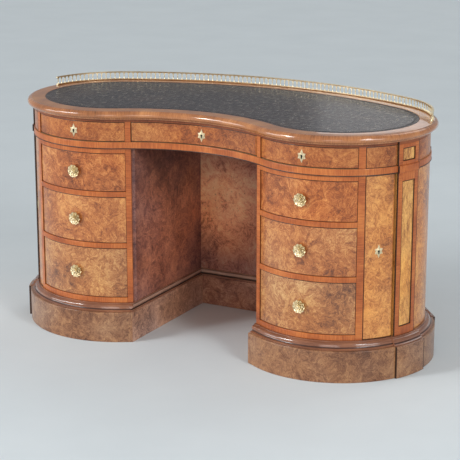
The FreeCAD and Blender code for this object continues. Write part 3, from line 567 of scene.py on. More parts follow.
# Kneehole moulding: a pale bead finish as a painted highlight, and a paler copy of the moulding as painted
# light where the lamps do not reach
KNEE_BEAD_PAINTED_HIGHLIGHT = straight("kneehole_bead_painted_highlight", (0.58, 0.37, 0.28), (0.40, 0.24, 0.175), (0.190, 0.100, 0.072),
                     MOULD_GRAIN, own_map=True, gloss=0.18, coat=0.9)
KNEE_MOULD_PAINTED_LIGHT = straight("kneehole_moulding_painted_light", (0.46, 0.235, 0.150), (0.29, 0.135, 0.085),
                      (0.110, 0.050, 0.036), MOULD_GRAIN, own_map=True, gloss=0.18, coat=0.9)
# Dark stringing, also laid on as painted shade: the line under the frieze rail, the rims round drawer and
# door fronts and the kneehole moulding's hollows
DARK_LINE_AND_PAINTED_SHADE = straight("dark_stringing_and_painted_shade", (0.085, 0.040, 0.024), (0.046, 0.022, 0.015), (0.020, 0.011, 0.009),
                     (40, 40, 40), gloss=0.34)
INNER = straight("drawer_lining_oak", (0.52, 0.33, 0.17), (0.40, 0.235, 0.115), (0.24, 0.125, 0.06),
                 (260, 14, 260), gloss=0.5, coat=0.0)

# Leather and metals

LEATHER = leather_finish()
BRASS = brass_finish("gallery_brass", (0.92, 0.83, 0.60), (0.80, 0.67, 0.42), 0.15)
KNOB_BRASS = brass_finish("knob_brass", (0.90, 0.79, 0.54), (0.74, 0.59, 0.35), 0.28)
# Dark fill for the keyholes: painted shade where the hole would look dark
KEYHOLE_PAINTED_SHADE = straight("keyhole_painted_shade", (0.02, 0.018, 0.016), (0.010, 0.009, 0.009), (0.004, 0.004, 0.004),
                (80, 80, 80), gloss=0.6, coat=0.0)

# Carried-over boards, seen inside the kneehole and behind open drawers


def refinish(node_name, finish):
    """Give a carried-over CAD node one finish."""
    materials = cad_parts[node_name].data.materials
    materials.clear()
    materials.append(finish)


refinish("kneehole_sides", KNEE_SIDE_PAINTED_LIGHT_AND_SHADE)
refinish("kneehole_back", KNEE_BACK_PAINTED_LIGHT_AND_SHADE)
refinish("door_pins", KNOB_BRASS)
lining_nodes = ["cupboard_partitions", "dustboards", "frieze_dividers", "pedestal_bottom_boards",
                "pedestal_top_boards"]
lining_nodes += [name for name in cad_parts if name.endswith("_drawer_box")]
for node_name in lining_nodes:
    refinish(node_name, INNER)

# Top with its rounded nose, and the tooled leather let into it

WHOLE = rear_face(FRONT_TURN - 180)[:-1] + hollow_face(-HOLLOW_X, HOLLOW_X, HOLLOW_POINTS)[:-1]
LEATHER_BED, LEATHER_TOP, GROOVE_DEEP = WRITING - 0.0016, WRITING - 0.0002, 0.0004
BORDER_IN, BORDER_EASE, BORDER_STRIPS = -0.0352, 0.0006, 4
NOSE_LEVEL = WRITING - 0.013
NOSE = [(BORDER_IN, LEATHER_BED), (BORDER_IN, WRITING - BORDER_EASE), (BORDER_IN + BORDER_EASE, WRITING),
        (-0.0330, WRITING)]
NOSE += arc((0.0080, NOSE_LEVEL), (0.0140, WRITING - NOSE_LEVEL), 90, 0, 8)
NOSE += arc((0.0160, NOSE_LEVEL), (0.0060, 0.0074), 0, -90, 5)[1:]
NOSE += arc((0.0160, TOP_LOW), (0.0048, 0.0056), 90, 180, 5)[1:]
top = Piece("veneered_top")
top.sweep(WHOLE, NOSE, lambda i, j: TOP_BAND if j < BORDER_STRIPS else NOSE_BAND, loop=True, ring=False,
          cap_finish=INNER)
top.done("carcase", "burr_walnut", "top_board", sharp=60)

LEATHER_EDGE = [(-0.0353, LEATHER_BED), (-0.0354, LEATHER_TOP - GROOVE_DEEP), (-0.0362, LEATHER_TOP)]
for groove in (-0.0420, -0.0460):
    for step, drop in ((0.0, 0.0), (0.0004, GROOVE_DEEP), (0.0012, GROOVE_DEEP), (0.0016, 0.0)):
        LEATHER_EDGE.append((groove - step, LEATHER_TOP - drop))
LEATHER_EDGE.append((-0.0520, LEATHER_TOP))
leather = Piece("tooled_leather")
leather.sweep(WHOLE, LEATHER_EDGE, LEATHER, loop=True, ring=False)
leather.done("carcase", "leather", "writing_leather")

# Rail under the frieze with a dark line of painted shadow along its lower edge, and the band above it,
# darkened as painted shade under the top


def plate_section(offset, low, high, ease):
    """Edge of a level board, from its upper face to its underside."""
    inner, rim = offset - 3 * ease, RIM_END * ease
    return ((inner, high), (offset - ease, high), (offset, high - ease), (offset, high - rim),
            (offset, low + rim), (offset, low + ease), (offset - ease, low), (inner, low))


RAIL_PAINTED_SHADOW = [(RAIL_PROUD + out, RAIL_LOW + up)
             for out, up in ((-0.0006, -0.0001), (0.0006, -0.0001), (0.0007, 0.0004), (0.0007, 0.0022),
                             (0.0005, 0.0026), (-0.0006, 0.0026))]
rail = Piece("frieze_rail")
rail.sweep(WHOLE, plate_section(RAIL_PROUD, RAIL_LOW, FRIEZE_LOW, 0.0008), RAIL_BAND, loop=True, ring=False,
           cap_finish=INNER)
# Dark line along the rail's lower edge: painted shadow of the proud rail
rail.sweep(WHOLE, RAIL_PAINTED_SHADOW, DARK_LINE_AND_PAINTED_SHADE, loop=True)
rail.done("carcase", "crossbanding", "frieze_base_board")
cornice = Piece("cornice_band")
cornice.sweep(WHOLE, plate_section(0.0, FRIEZE_HIGH, TOP_LOW, 0.0006), CORNICE_BAND_PAINTED_SHADE, loop=True, ring=False,
              cap_finish=INNER)
cornice.done("carcase", "crossbanding", "subtop_board")

# Section of the base moulding, from its upper fillet down: round, hollow and lower fillet

# The hollow's strips take painted shade
MOULD_WAIST, HOLLOW_SHADE_STRIPS = 0.1094, (10, 11)
MOULDING = [(0.0010, CARCASE_FOOT), (0.0055, CARCASE_FOOT), (0.0062, CARCASE_FOOT - 0.0007)]
MOULDING += arc((0.0062, MOULD_WAIST), (0.0102, 0.0102), 90, 0, 7)
MOULDING += arc((0.0234, MOULD_WAIST), (0.0070, 0.0074), 180, 270, 6)[1:]
MOULDING += [(0.0240, 0.1014), (0.0240, PLINTH_TOP + 0.0008), (0.0234, PLINTH_TOP)]
FOOT_MOULDING = [(offset + POST_PROUD, z) for offset, z in MOULDING]
FOOT_MOULDING += [(0.010, PLINTH_TOP), (GAP, PLINTH_TOP + MOULDING_HIGH / 2)]

# Carcase: stiles, rails, end panels, back and pilasters


def dark_returns(piece, side, span, low, high, front, back):
    """Thin dark strips down both sides of a pilaster or of a break above or below it."""
    start, end = span
    for a, b in ((start, start + DARK_RETURN), (end - DARK_RETURN, end)):
        piece.board(lobe_face(side, a, b), low, high, front, back, DARK_LINE_AND_PAINTED_SHADE, ease=0.0003)


def pilaster_break(piece, side, span, low, high, front, back, finish, **how):
    """Rail, cornice or plinth where it breaks forward over a pilaster, with its dark returns."""
    dark_returns(piece, side, span, low, high, front, back)
    face = lobe_face(side, span[0] + DARK_RETURN, span[1] - DARK_RETURN)
    piece.board(face, low, high, front, back, finish, **how)


def sunk_panel(piece, side, span, low, high, margin):
    """Pilaster: sunk burr panel, dark bead and crossbanded frame."""
    start, end = span
    left, right = start + POST_BORDER, end - POST_BORDER
    bottom, top_edge = low + margin, high - margin
    bead_turn = math.degrees(BEAD_WIDE / (LOBE_RADIUS + POST_PROUD))
    bead_front = POST_PROUD - BEAD_LOW
    piece.board(lobe_face(side, start, end), low, high, POST_SUNK, -SHELL, BURR_PANEL)
    dark_returns(piece, side, span, low, high, POST_PROUD, 0.0)
    for a, b in ((start + DARK_RETURN, left), (right, end - DARK_RETURN)):
        piece.board(lobe_face(side, a, b), low, high, POST_PROUD, 0.0, STILE_BAND)
    for a, b in ((low, bottom), (top_edge, high)):
        piece.board(lobe_face(side, left, right), a, b, POST_PROUD, 0.0, RAIL_BAND)
    for a, b in ((left, left + bead_turn), (right - bead_turn, right)):
        piece.board(lobe_face(side, a, b), bottom, top_edge, bead_front, 0.0, DARK_LINE_AND_PAINTED_SHADE)
    for a, b in ((bottom, bottom + BEAD_WIDE), (top_edge - BEAD_WIDE, top_edge)):
        piece.board(lobe_face(side, left, right), a, b, bead_front, 0.0, DARK_LINE_AND_PAINTED_SHADE)


stiles, frieze_stiles = Piece("crossbanded_stiles"), Piece("frieze_uprights")
rails = Piece("crossbanded_rails")
ends, frieze_ends = Piece("burr_end_panels"), Piece("burr_frieze_ends")
posts, blocks = Piece("panelled_pilasters"), Piece("panelled_frieze_blocks")
bands, feet = Piece("pilaster_breaks"), Piece("pilaster_feet")

for side in (1, -1):
    rail_face = hollow_face(side * BAY_LEFT, side * HOLLOW_X, 5)[:-1]
    rail_face += lobe_face(side, FRONT_TURN - 180, BAY_END)
    for low, high in RAILS:
        rails.board(rail_face, low, high, 0.0, -SHELL, RAIL_BAND, limits=(BAY_LEFT, BAY_RIGHT))
    inner_stile = hollow_face(side * KNEE_X, side * BAY_LEFT, 3)
    outer_stile = lobe_face(side, BAY_END, STILE_END)
    for piece, low, high in ((stiles, CARCASE_FOOT, RAIL_LOW), (frieze_stiles, FRIEZE_LOW, FRIEZE_HIGH)):
        piece.board(inner_stile, low, high, 0.0, -SHELL, STILE_BAND, limits=(KNEE_X, BAY_LEFT))
        piece.board(outer_stile, low, high, 0.0, -SHELL, STILE_BAND, limits=(BAY_RIGHT, LOBE_X + LOBE_RADIUS))
    end_face = lobe_face(side, POST[1], BACK_POST[0])
    corner_face = lobe_face(side, STILE_END, POST[0])
    ends.board(end_face, CARCASE_FOOT, RAIL_LOW, 0.0, -SHELL, BURR_DOOR)
    frieze_ends.board(end_face, FRIEZE_LOW, FRIEZE_HIGH, 0.0, -SHELL, BURR_FRIEZE)
    frieze_ends.board(corner_face, FRIEZE_LOW, FRIEZE_HIGH, 0.0, -SHELL, BURR_FRIEZE, rim=DARK_LINE_AND_PAINTED_SHADE)
    for span in (POST, BACK_POST):
        sunk_panel(posts, side, span, CARCASE_FOOT, RAIL_LOW, POST_MARGIN)
        sunk_panel(blocks, side, span, FRIEZE_LOW, FRIEZE_HIGH, BLOCK_MARGIN)
        pilaster_break(bands, side, span, RAIL_LOW, FRIEZE_LOW, RAIL_PROUD + POST_PROUD, RAIL_PROUD - GAP,
                       RAIL_BAND)
        pilaster_break(bands, side, span, FRIEZE_HIGH, TOP_LOW, POST_PROUD, -GAP, CORNICE_BAND_PAINTED_SHADE)
        foot_span = (span[0] - FOOT_SPREAD, span[1] + FOOT_SPREAD)
        pilaster_break(feet, side, foot_span, 0.0, PLINTH_TOP, PLINTH_OUT + POST_PROUD, FOOT_BACK,
                       BURR_PLINTH, ease=0.0012)
        # The hollow of each foot moulding takes painted shade
        feet.sweep(lobe_face(side, *foot_span), FOOT_MOULDING,
                   lambda i, j: MOULD_HOLLOW_PAINTED_SHADE if j in HOLLOW_SHADE_STRIPS else MOULD, cap_finish=MOULD)
for piece, slot, node_name in (
        (stiles, "crossbanding", "pedestal_stiles"),
        (frieze_stiles, "crossbanding", "frieze_stiles"),
        (rails, "crossbanding", "drawer_rails"),
        (ends, "burr_walnut", "pedestal_end_panels"),
        (frieze_ends, "burr_walnut", "frieze_end_panels"),
        (posts, "burr_walnut", "pedestal_pilasters"),
        (blocks, "burr_walnut", "frieze_pilaster_blocks"),
        (bands, "crossbanding", "pilaster_bands"),
        (feet, "plinth_wood", "pilaster_plinth_blocks")):
    piece.done("carcase", slot, node_name)

for name, low, high, finish, node_name in (
        ("burr_back", CARCASE_FOOT, RAIL_LOW, BURR_DOOR, "back_panel"),
        ("burr_frieze_back", FRIEZE_LOW, FRIEZE_HIGH, BURR_FRIEZE, "frieze_back_panel")):
    back = Piece(name)
    back.board(rear_face(BACK_POST[1]), low, high, 0.0, -SHELL, finish)
    back.done("carcase", "burr_walnut", node_name)

# Plinth and base moulding, which turn into the kneehole


def skirting_rows(section):
    """Rows of a section of (offset, reach into the kneehole, height) round the plan and its kneehole."""
    columns = []
    for offset, knee, z in section:
        knee_x, knee_y = KNEE_X - knee, KNEE_Y - knee
        radius = HOLLOW_RADIUS - offset
        tangent_x = radius * math.cos(math.radians(FRONT_TURN))
        outline = [(x + nx * offset, y + ny * offset) for x, y, nx, ny in rear_face(FRONT_TURN - 180)]
        entry = []
        for i in range(1, ENTRY_STEPS + 1):
            x = tangent_x + (knee_x - tangent_x) * i / ENTRY_STEPS
            entry.append((x, HOLLOW_Y + math.sqrt(radius ** 2 - x ** 2)))
        left = [(-x, y) for x, y in entry]
        plan = outline + left + [(-knee_x, knee_y), (knee_x, knee_y)] + entry[::-1]
        columns.append([Vector((x, y, z)) for x, y in plan])
    return [list(row) for row in zip(*columns)]


PLINTH_EDGE = ((PLINTH_THICK, 0.0), (0.0008, 0.0), (0.0, 0.0010), (0.0, 0.0040),
               (0.0, PLINTH_TOP - 0.0040), (0.0, PLINTH_TOP - 0.0018), (0.0006, PLINTH_TOP - 0.0005),
               (0.0020, PLINTH_TOP), (PLINTH_THICK, PLINTH_TOP))
plinth_rows = skirting_rows([(PLINTH_OUT - inset, KNEE_PLINTH_OUT - inset, z) for inset, z in PLINTH_EDGE])

# Strips of the plan along the kneehole's left side, back and right side

KNEE_LEFT = len(plinth_rows) - ENTRY_STEPS - 3
KNEE_WALLS = range(KNEE_LEFT, KNEE_LEFT + 3)


def plinth_veneer_and_painted_light(i, j):
    """In the kneehole the plinth takes a paler, redder copy of its burr as painted light, and painted shade
    along its back.
    """
    if i == KNEE_WALLS[1]:
        return KNEE_PLINTH_BACK_PAINTED_SHADE
    return KNEE_PLINTH_PAINTED_LIGHT if i in KNEE_WALLS else BURR_PLINTH


plinth = Piece("burr_plinth")
plinth.skin(plinth_rows, plinth_veneer_and_painted_light, loop=True)
plinth.done("carcase", "plinth_wood", "plinth_end_boards", "plinth_inner_boards")

# How far the moulding stands out in the kneehole, point by point: fillet, bead, hollow and foot

KNEE_STEPS = [0.0004, 0.0030, 0.0036, 0.0036]
KNEE_STEPS += [0.0022 + 0.0056 * math.sin(math.pi * i / 7) for i in range(7)]
KNEE_STEPS += [0.0080 - 0.0050 * math.cos(math.pi * i / 8) for i in range(5)]
KNEE_STEPS += [0.0080, 0.0078]
# Kneehole moulding strips that take painted shade, and strips that take a painted highlight
KNEE_SHADE_STRIPS, KNEE_HIGHLIGHT_STRIPS = (3, 4, 10, 11, 12), range(5, 10)
mould_face = [(-SHELL, -KNEE_BOARD, CARCASE_FOOT)]
mould_face += [(offset, knee, z) for (offset, z), knee in zip(MOULDING, KNEE_STEPS)]
mould_face += [(-SHELL, -KNEE_BOARD, PLINTH_TOP)]


def mould_veneer_and_painted_light(i, j):
    """Outside, the hollows take painted shade; in the kneehole the bead takes a painted highlight, the
    hollows above and below it painted shade, and the rest a paler copy of the moulding as painted light.
    """
    strip = j - 1
    if i not in KNEE_WALLS:
        return MOULD_HOLLOW_PAINTED_SHADE if strip in HOLLOW_SHADE_STRIPS else MOULD
    if strip in KNEE_SHADE_STRIPS:
        return DARK_LINE_AND_PAINTED_SHADE
    return KNEE_BEAD_PAINTED_HIGHLIGHT if strip in KNEE_HIGHLIGHT_STRIPS else KNEE_MOULD_PAINTED_LIGHT


mould = Piece("base_mould")
mould.skin(skirting_rows(mould_face), mould_veneer_and_painted_light, loop=True)
mould.done("carcase", "plinth_wood", "base_moulding", sharp=40)

# Geometry Nodes trees: a row of balusters, a rail along a path and a ring of petals


class NodeTree:
    """Geometry Nodes tree with named inputs, run once to a plain mesh."""

    def __init__(self, name, *inputs):
        self.tree = bpy.data.node_groups.new(name, "GeometryNodeTree")
        self.tree.interface.new_socket("Geometry", in_out="OUTPUT", socket_type="NodeSocketGeometry")
        self.keys = {}
        for label, kind in (*inputs, ("Finish", "Material")):
            socket = self.tree.interface.new_socket(label, in_out="INPUT", socket_type="NodeSocket" + kind)
            self.keys[label] = socket.identifier
        self.given = self.tree.nodes.new("NodeGroupInput").outputs
        self.result = self.tree.nodes.new("NodeGroupOutput")

    def add(self, kind, *links, **settings):
        """One node, with the links to its sockets."""
        return add_node(self.tree, kind, links, settings)

    def shape(self, label):
        """Geometry of an object given as an input."""
        return self.add("GeometryNodeObjectInfo", ("Object", self.given[label])).outputs["Geometry"]

    def swing(self, turn):
        """Rotation by a turn about the upright axis."""
        return self.add("ShaderNodeCombineXYZ", ("Z", turn)).outputs[0]

    def scatter(self, points, shape, rotation):
        """End the tree with one copy of a shape on each point."""
        copies = self.add("GeometryNodeInstanceOnPoints", ("Points", points), ("Instance", shape),
                          ("Rotation", rotation))
        self.end(copies.outputs[0])

    def end(self, geometry):
        """Make the geometry real and give it its finish."""
        real = self.add("GeometryNodeRealizeInstances", (0, geometry)).outputs[0]
        painted = self.add("GeometryNodeSetMaterial", ("Geometry", real), ("Material", self.given["Finish"]))
        self.tree.links.new(painted.outputs[0], self.result.inputs[0])

    def run(self, name, **values):
        """Build the tree once with its inputs filled."""
        holder = shown(name, bpy.data.meshes.new(name + "_seed"))
        modifier = holder.modifiers.new("build", "NODES")
        modifier.node_group = self.tree
        for label, value in values.items():
            modifier[self.keys[label]] = value
        graph = bpy.context.evaluated_depsgraph_get()
        made = bpy.data.meshes.new_from_object(holder.evaluated_get(graph))
        bpy.data.objects.remove(holder)
        return made


def baluster_row_tree():
    """Balusters spread evenly along a path, each turned to face along it."""
    tree = NodeTree("baluster_row", ("Path", "Object"), ("Baluster", "Object"), ("Count", "Int"))
    spots = tree.add("GeometryNodeCurveToPoints", ("Curve", tree.shape("Path")),
                     ("Count", tree.given["Count"]), mode="COUNT").outputs
    ahead = tree.add("ShaderNodeSeparateXYZ", (0, spots["Tangent"])).outputs
    heading = tree.add("ShaderNodeMath", (0, ahead["Y"]), (1, ahead["X"]), operation="ARCTAN2").outputs[0]
    tree.scatter(spots["Points"], tree.shape("Baluster"), tree.swing(heading))
    return tree


def swept_rail_tree():
    """Closed section carried along a path, upright all the way."""
    tree = NodeTree("swept_rail", ("Path", "Object"), ("Section", "Object"))
    path = tree.add("GeometryNodeSetCurveNormal", ("Curve", tree.shape("Path")), mode="Z_UP").outputs[0]
    swept = tree.add("GeometryNodeCurveToMesh", ("Curve", path), ("Profile Curve", tree.shape("Section")),
                     ("Fill Caps", True))
    tree.end(swept.outputs[0])
    return tree


def petal_ring_tree():
    """Petals set evenly round an axis, the first at a starting turn."""
    tree = NodeTree("petal_ring", ("Petal", "Object"), ("Count", "Int"), ("Start", "Float"))
    count = tree.given["Count"]
    spots = tree.add("GeometryNodeMeshLine", ("Count", count), ("Offset", (0, 0, 0))).outputs[0]
    number = tree.add("GeometryNodeInputIndex").outputs[0]
    share = tree.add("ShaderNodeMath", (0, math.tau), (1, count), operation="DIVIDE").outputs[0]
    turn = tree.add("ShaderNodeMath", (0, number), (1, share), (2, tree.given["Start"]),
                    operation="MULTIPLY_ADD").outputs[0]
    tree.scatter(spots, tree.shape("Petal"), tree.swing(turn))
    return tree


BALUSTER_ROW, SWEPT_RAIL, PETAL_RING = baluster_row_tree(), swept_rail_tree(), petal_ring_tree()


def line_object(name, points, closed):
    """Poly curve for a tree to follow or to sweep."""
    curve = bpy.data.curves.new(name, "CURVE")
    curve.dimensions = "3D"
    spline = curve.splines.new("POLY")
    spline.points.add(len(points) - 1)
    for spot, point in zip(spline.points, points):
        spot.co = (*point, 1)
    spline.use_cyclic_u = closed
    return shown(name, curve)


# Brass gallery: foot rail, turned balusters and hand rail round the ends and the back

GALLERY_OFFSET, GALLERY_START, BALUSTER_START, BALUSTERS = 0.004, 10.0, 11.1, 104
GALLERY_RAIL, RAIL_TALL, FOOT_RAIL_WIDE, HAND_RAIL_WIDE = 0.764, 0.004, 0.008, 0.006
BALUSTER = ((0.0021, 0.0), (0.0021, 0.0012), (0.0012, 0.0024), (0.0010, 0.0060), (0.0015, 0.0096),
            (0.0020, 0.0112), (0.0012, 0.0130), (0.0012, 0.0200))
ARCH = arc((0.0060, 0.0126), (0.0049, 0.0070), 180, 90, 5) + [(0.0060, 0.0202)]
ARCH_HALF_THICK = 0.0013


def gallery_line(height, start):
    """Points along the gallery, from a turn on one lobe round the back to the other."""
    points = []
    for x, y, nx, ny in rear_face(start):
        points.append((x + nx * GALLERY_OFFSET, y + ny * GALLERY_OFFSET, height))
    return points


def gallery_piece(name, node_name, tree, **shapes):
    """Brass piece made by a tree, whose helper objects are then removed."""
    piece = Piece(name)
    piece.take(tree.run(name + "_run", Finish=BRASS, **shapes), Matrix.Identity(4), BRASS)
    piece.done("carcase", "brass", node_name)
    for helper in shapes.values():
        if isinstance(helper, bpy.types.Object):
            bpy.data.objects.remove(helper)


def brass_rail(name, node_name, height, width):
    """Rail with a rounded back, swept along the gallery line."""
    half, rise = width / 2, RAIL_TALL / 2
    section = ((-half, -rise), (half, -rise), (half, 0.1 * rise), (0.8 * half, 0.7 * rise),
               (0.35 * half, rise), (-0.35 * half, rise), (-0.8 * half, 0.7 * rise), (-half, 0.1 * rise))
    line = line_object(name + "_line", gallery_line(height + rise, GALLERY_START), False)
    shape_line = line_object(name + "_section", [(x, y, 0) for x, y in section], True)
    gallery_piece(name, node_name, SWEPT_RAIL, Path=line, Section=shape_line)


def baluster_shape():
    """One turned baluster with the half arches that spring from it."""
    baluster = Piece("baluster_shape")
    baluster.turned(BALUSTER, BRASS, Matrix.Identity(4), segments=8)
    corners = ((-1, -1), (1, -1), (1, 1), (-1, 1))
    rows = [[Vector((x * half, y * ARCH_HALF_THICK, z)) for x, y in corners] for half, z in ARCH]
    baluster.skin(rows, BRASS)
    return baluster.helper()


brass_rail("gallery_foot_rail", "gallery_base_rail", WRITING, FOOT_RAIL_WIDE)
brass_rail("gallery_hand_rail", "gallery_top_rail", GALLERY_RAIL, HAND_RAIL_WIDE)
baluster_line = line_object("baluster_line", gallery_line(WRITING + RAIL_TALL, BALUSTER_START), False)
gallery_piece("gallery_balusters", "gallery_spindles", BALUSTER_ROW, Path=baluster_line,
              Baluster=baluster_shape(), Count=BALUSTERS)

# Rosette knob, made once and set on each pedestal drawer

# Petal rings: number of petals, starting turn, then inner and outer reach, half width, heights, thickness

PETALS = (("outer", 10, 0.0, (0.0055, 0.0208, 0.0066, 0.0072, 0.0088, 0.0014)),
          ("middle", 8, 0.3, (0.0040, 0.0146, 0.0058, 0.0098, 0.0118, 0.0013)),
          ("inner", 6, 0.1, (0.0020, 0.0086, 0.0044, 0.0124, 0.0140, 0.0012)))
PETAL_ALONG, PETAL_ACROSS = 9, 7
PETAL_CUP, PETAL_VEIN, PETAL_CURL, CURL_START = 0.0016, 0.0010, 0.0012, 0.75

# Stem of the knob: shank, back plate, neck, cup under the petals and button in the middle

STEM = ((0.0046, -0.0195), (0.0046, 0.0),
        (0.0120, 0.0002), (0.0124, 0.0012), (0.0116, 0.0022),
        (0.0086, 0.0030), (0.0074, 0.0044), (0.0090, 0.0058),
        (0.0140, 0.0066), (0.0150, 0.0074), (0.0140, 0.0082), (0.0100, 0.0094), (0.0064, 0.0112),
        (0.0040, 0.0130), (0.0036, 0.0148), (0.0034, 0.0160), (0.0026, 0.0170), (0.0012, 0.0176))


def petal_helper(name, inner, outer, half_width, root_height, lip_height, thick):
    """Cupped petal along X with a sunk vein and a rolled lip, closed all round."""
    rows = []
    for i in range(PETAL_ALONG):
        u = i / (PETAL_ALONG - 1)
        reach = inner + (outer - inner) * u
        swell = 0.42 + 0.58 * math.sin(math.pi * min(u * 0.72 + 0.05, 1.0))
        wide = half_width * swell * math.sqrt(max(1 - u ** 5, 0.02))
        curl = PETAL_CURL * max(u - CURL_START, 0) / (1 - CURL_START)
        rise = root_height + (lip_height - root_height) * u ** 1.5 - curl
        ring = []
        for face_sign in (1, -1):
            for j in range(PETAL_ACROSS):
                v = (2 * j / (PETAL_ACROSS - 1) - 1) * face_sign
                vein = PETAL_VEIN * math.exp(-(v / 0.22) ** 2) if face_sign > 0 else 0.0
                height = rise + PETAL_CUP * v * v - vein + thick / 2 * face_sign
                ring.append(Vector((reach, wide * v, height)))
        rows.append(ring)
    petal = Piece(name)
    petal.skin(rows, KNOB_BRASS)
    return petal.helper()


petal_rings = []
for ring_name, count, start, shape_sizes in PETALS:
    petal = petal_helper(ring_name + "_petal", *shape_sizes)
    petal_rings.append(PETAL_RING.run(ring_name + "_ring", Petal=petal, Count=count, Start=start,
                                      Finish=KNOB_BRASS))
    bpy.data.objects.remove(petal)


def facing(x, y, z, nx, ny):
    """Place on an upright face: X along the face, Y up, Z outwards."""
    return Matrix(((-ny, 0, nx, x), (nx, 0, ny, y), (0, 1, 0, z), (0, 0, 0, 1)))


def rosette(name, body, node_name, place):
    """Knob with its rings of petals."""
    knob = Piece(name)
    knob.turned(STEM, KNOB_BRASS, place, segments=28)
    for ring in petal_rings:
        knob.take(ring, place, KNOB_BRASS)
    knob.done(body, "brass", node_name)


# Star lock plates with their keyholes and lock cases

STAR_TALL, STAR_WIDE, STAR_VALLEY, STAR_POINTS, STAR_STEPS = 0.0206, 0.0148, 0.0098, 6, 72
EYE_RADIUS, SLOT_HALF, SLOT_LONG, BOSS_RADIUS = 0.0034, 0.0020, 0.0082, 0.0056
LOCK_HALF_TALL, LOCK_DEEP = 0.017, 0.011
FRIEZE_LOCK, DOOR_LOCK = (0.022, -0.0205), (0.014, -0.019)


def corner_reach(number):
    """Distance of a corner of the star, counted from the top round: every other one is a valley."""
    if number % 2:
        return STAR_VALLEY
    return STAR_WIDE if number % STAR_POINTS else STAR_TALL


def star_reach(turn):
    """Distance from the centre of the star plate to its edge, which runs straight between corners."""
    step = math.pi / STAR_POINTS
    number, past = divmod((turn - math.pi / 2) % math.tau, step)
    here, ahead = corner_reach(int(number)), corner_reach(int(number) + 1)
    return here * ahead * math.sin(step) / (here * math.sin(past) + ahead * math.sin(step - past))


def keyhole_reach(turn):
    """Round hole with a slot below it."""
    below = abs((turn + math.pi / 2 + math.pi) % math.tau - math.pi)
    slot = SLOT_HALF / max(math.sin(below), 1e-6) if below < math.pi / 2 else 0.0
    return max(EYE_RADIUS, min(SLOT_LONG, slot))


def star_plate(piece, place):
    """Bevelled star with a raised boss round its keyhole."""
    rows = []
    for i in range(STAR_STEPS):
        turn = math.pi / 2 + math.tau * i / STAR_STEPS
        edge, hole = star_reach(turn), keyhole_reach(turn)
        boss = max(BOSS_RADIUS, hole + 0.0009)
        section = ((edge, 0.0), (edge, 0.0006), (boss + 0.0004, 0.0013), (boss, 0.0016),
                   (hole + 0.0002, 0.0016), (hole, 0.0014), (hole, 0.0001))
        rows.append([place @ Vector((r * math.cos(turn), r * math.sin(turn), z)) for r, z in section])
    # The keyhole's floor is a dark disc of painted shade
    piece.skin(rows, KNOB_BRASS, loop=True, ring=False, cap_finish=KEYHOLE_PAINTED_SHADE)


def lock(name, body, node_name, place, half_wide, back):
    """Star plate on the face and the lock case behind the board."""
    piece = Piece(name)
    star_plate(piece, place)
    case = ((-half_wide, -LOCK_HALF_TALL, back - LOCK_DEEP), (half_wide, LOCK_HALF_TALL, back))
    piece.block(case, place, KNOB_BRASS)
    piece.done(body, "brass", node_name, sharp=22)


# Drawers and end doors


def drawer_front(name, body, face, low, high, finish, limits):
    """Veneered front with a dark rim round it, painted shade of the gap round the front, and a lining-wood
    core.
    """
    front = Piece(name)
    front.board(face, low + GAP, high - GAP, -RECESS, -RECESS - SHELL, finish, limits=limits, rim=DARK_LINE_AND_PAINTED_SHADE,
                core=INNER)
    front.done(body, "burr_walnut", body + "_front")


def end_door(side, side_name):
    """Curved door that turns on its half-round edge, with its star lock."""
    body = side_name + "_door_body"
    door = Piece(side_name + "_burr_door")
    # The door's dark rim is painted shade of the gap round it
    door.board(lobe_face(side, DOOR_START, DOOR_PIVOT), CARCASE_FOOT + GAP, RAIL_LOW - GAP, DOOR_FACE,
               DOOR_BACK, BURR_DOOR, round_end=True, rim=DARK_LINE_AND_PAINTED_SHADE, core=INNER)
    door.done(body, "burr_walnut", side_name + "_door")
    middle = math.radians((DOOR_START + DOOR_PIVOT) / 2)
    nx, ny = side * math.cos(middle), math.sin(middle)
    reach = LOBE_RADIUS + DOOR_FACE
    place = facing(side * LOBE_X + reach * nx, LOBE_Y + reach * ny, LOCK_Z, nx, ny)
    lock(side_name + "_door_star_lock", body, side_name + "_door_lock", place, *DOOR_LOCK)


for side, side_name in SIDES:
    front_face = lobe_face(side, FRONT_START, FRONT_END)
    for storey, (low, high) in (*DRAWERS.items(), ("frieze", (FRIEZE_LOW, FRIEZE_HIGH))):
        body = "%s_%s_drawer" % (side_name, storey)
        drawer_front(body + "_veneered_front", body, front_face, low, high, DRAWER_BURR[storey],
                     (BAY_LEFT + GAP, BAY_RIGHT - GAP))
        place = facing(side * LOBE_X, LOBE_Y - LOBE_RADIUS + RECESS, (low + high) / 2, 0, -1)
        if storey == "frieze":
            lock(body + "_star_lock", body, body + "_lock", place, *FRIEZE_LOCK)
        else:
            rosette(body + "_rosette", body, body + "_knob", place)
    end_door(side, side_name)

CENTRE_HALF = KNEE_X - GAP
centre_face = hollow_face(-CENTRE_HALF, CENTRE_HALF, HOLLOW_POINTS)
drawer_front("centre_veneered_front", "centre_frieze_drawer", centre_face, FRIEZE_LOW, FRIEZE_HIGH,
             BURR_FRIEZE, (0.0, CENTRE_HALF))
lock("centre_star_lock", "centre_frieze_drawer", "centre_frieze_drawer_lock",
     facing(0, HOLLOW_Y + HOLLOW_RADIUS + RECESS, (FRIEZE_LOW + FRIEZE_HIGH) / 2, 0, -1), *FRIEZE_LOCK)

# Studio: floor, soft light and the photograph's camera

FLOOR_REACH = 40.0
MIDDLE = (0.0, 0.0, 0.4)


def floor_finish():
    """Pale studio floor with a faint mottle."""
    f = Finish("studio_floor", Roughness=0.8)
    mottle = f.noise(f.place(), 3.0, 4.0)
    f.into("Base Color", f.ramp(mottle, (0.3, (0.70, 0.77, 0.80)), (0.7, (0.73, 0.80, 0.83))))
    return f.material


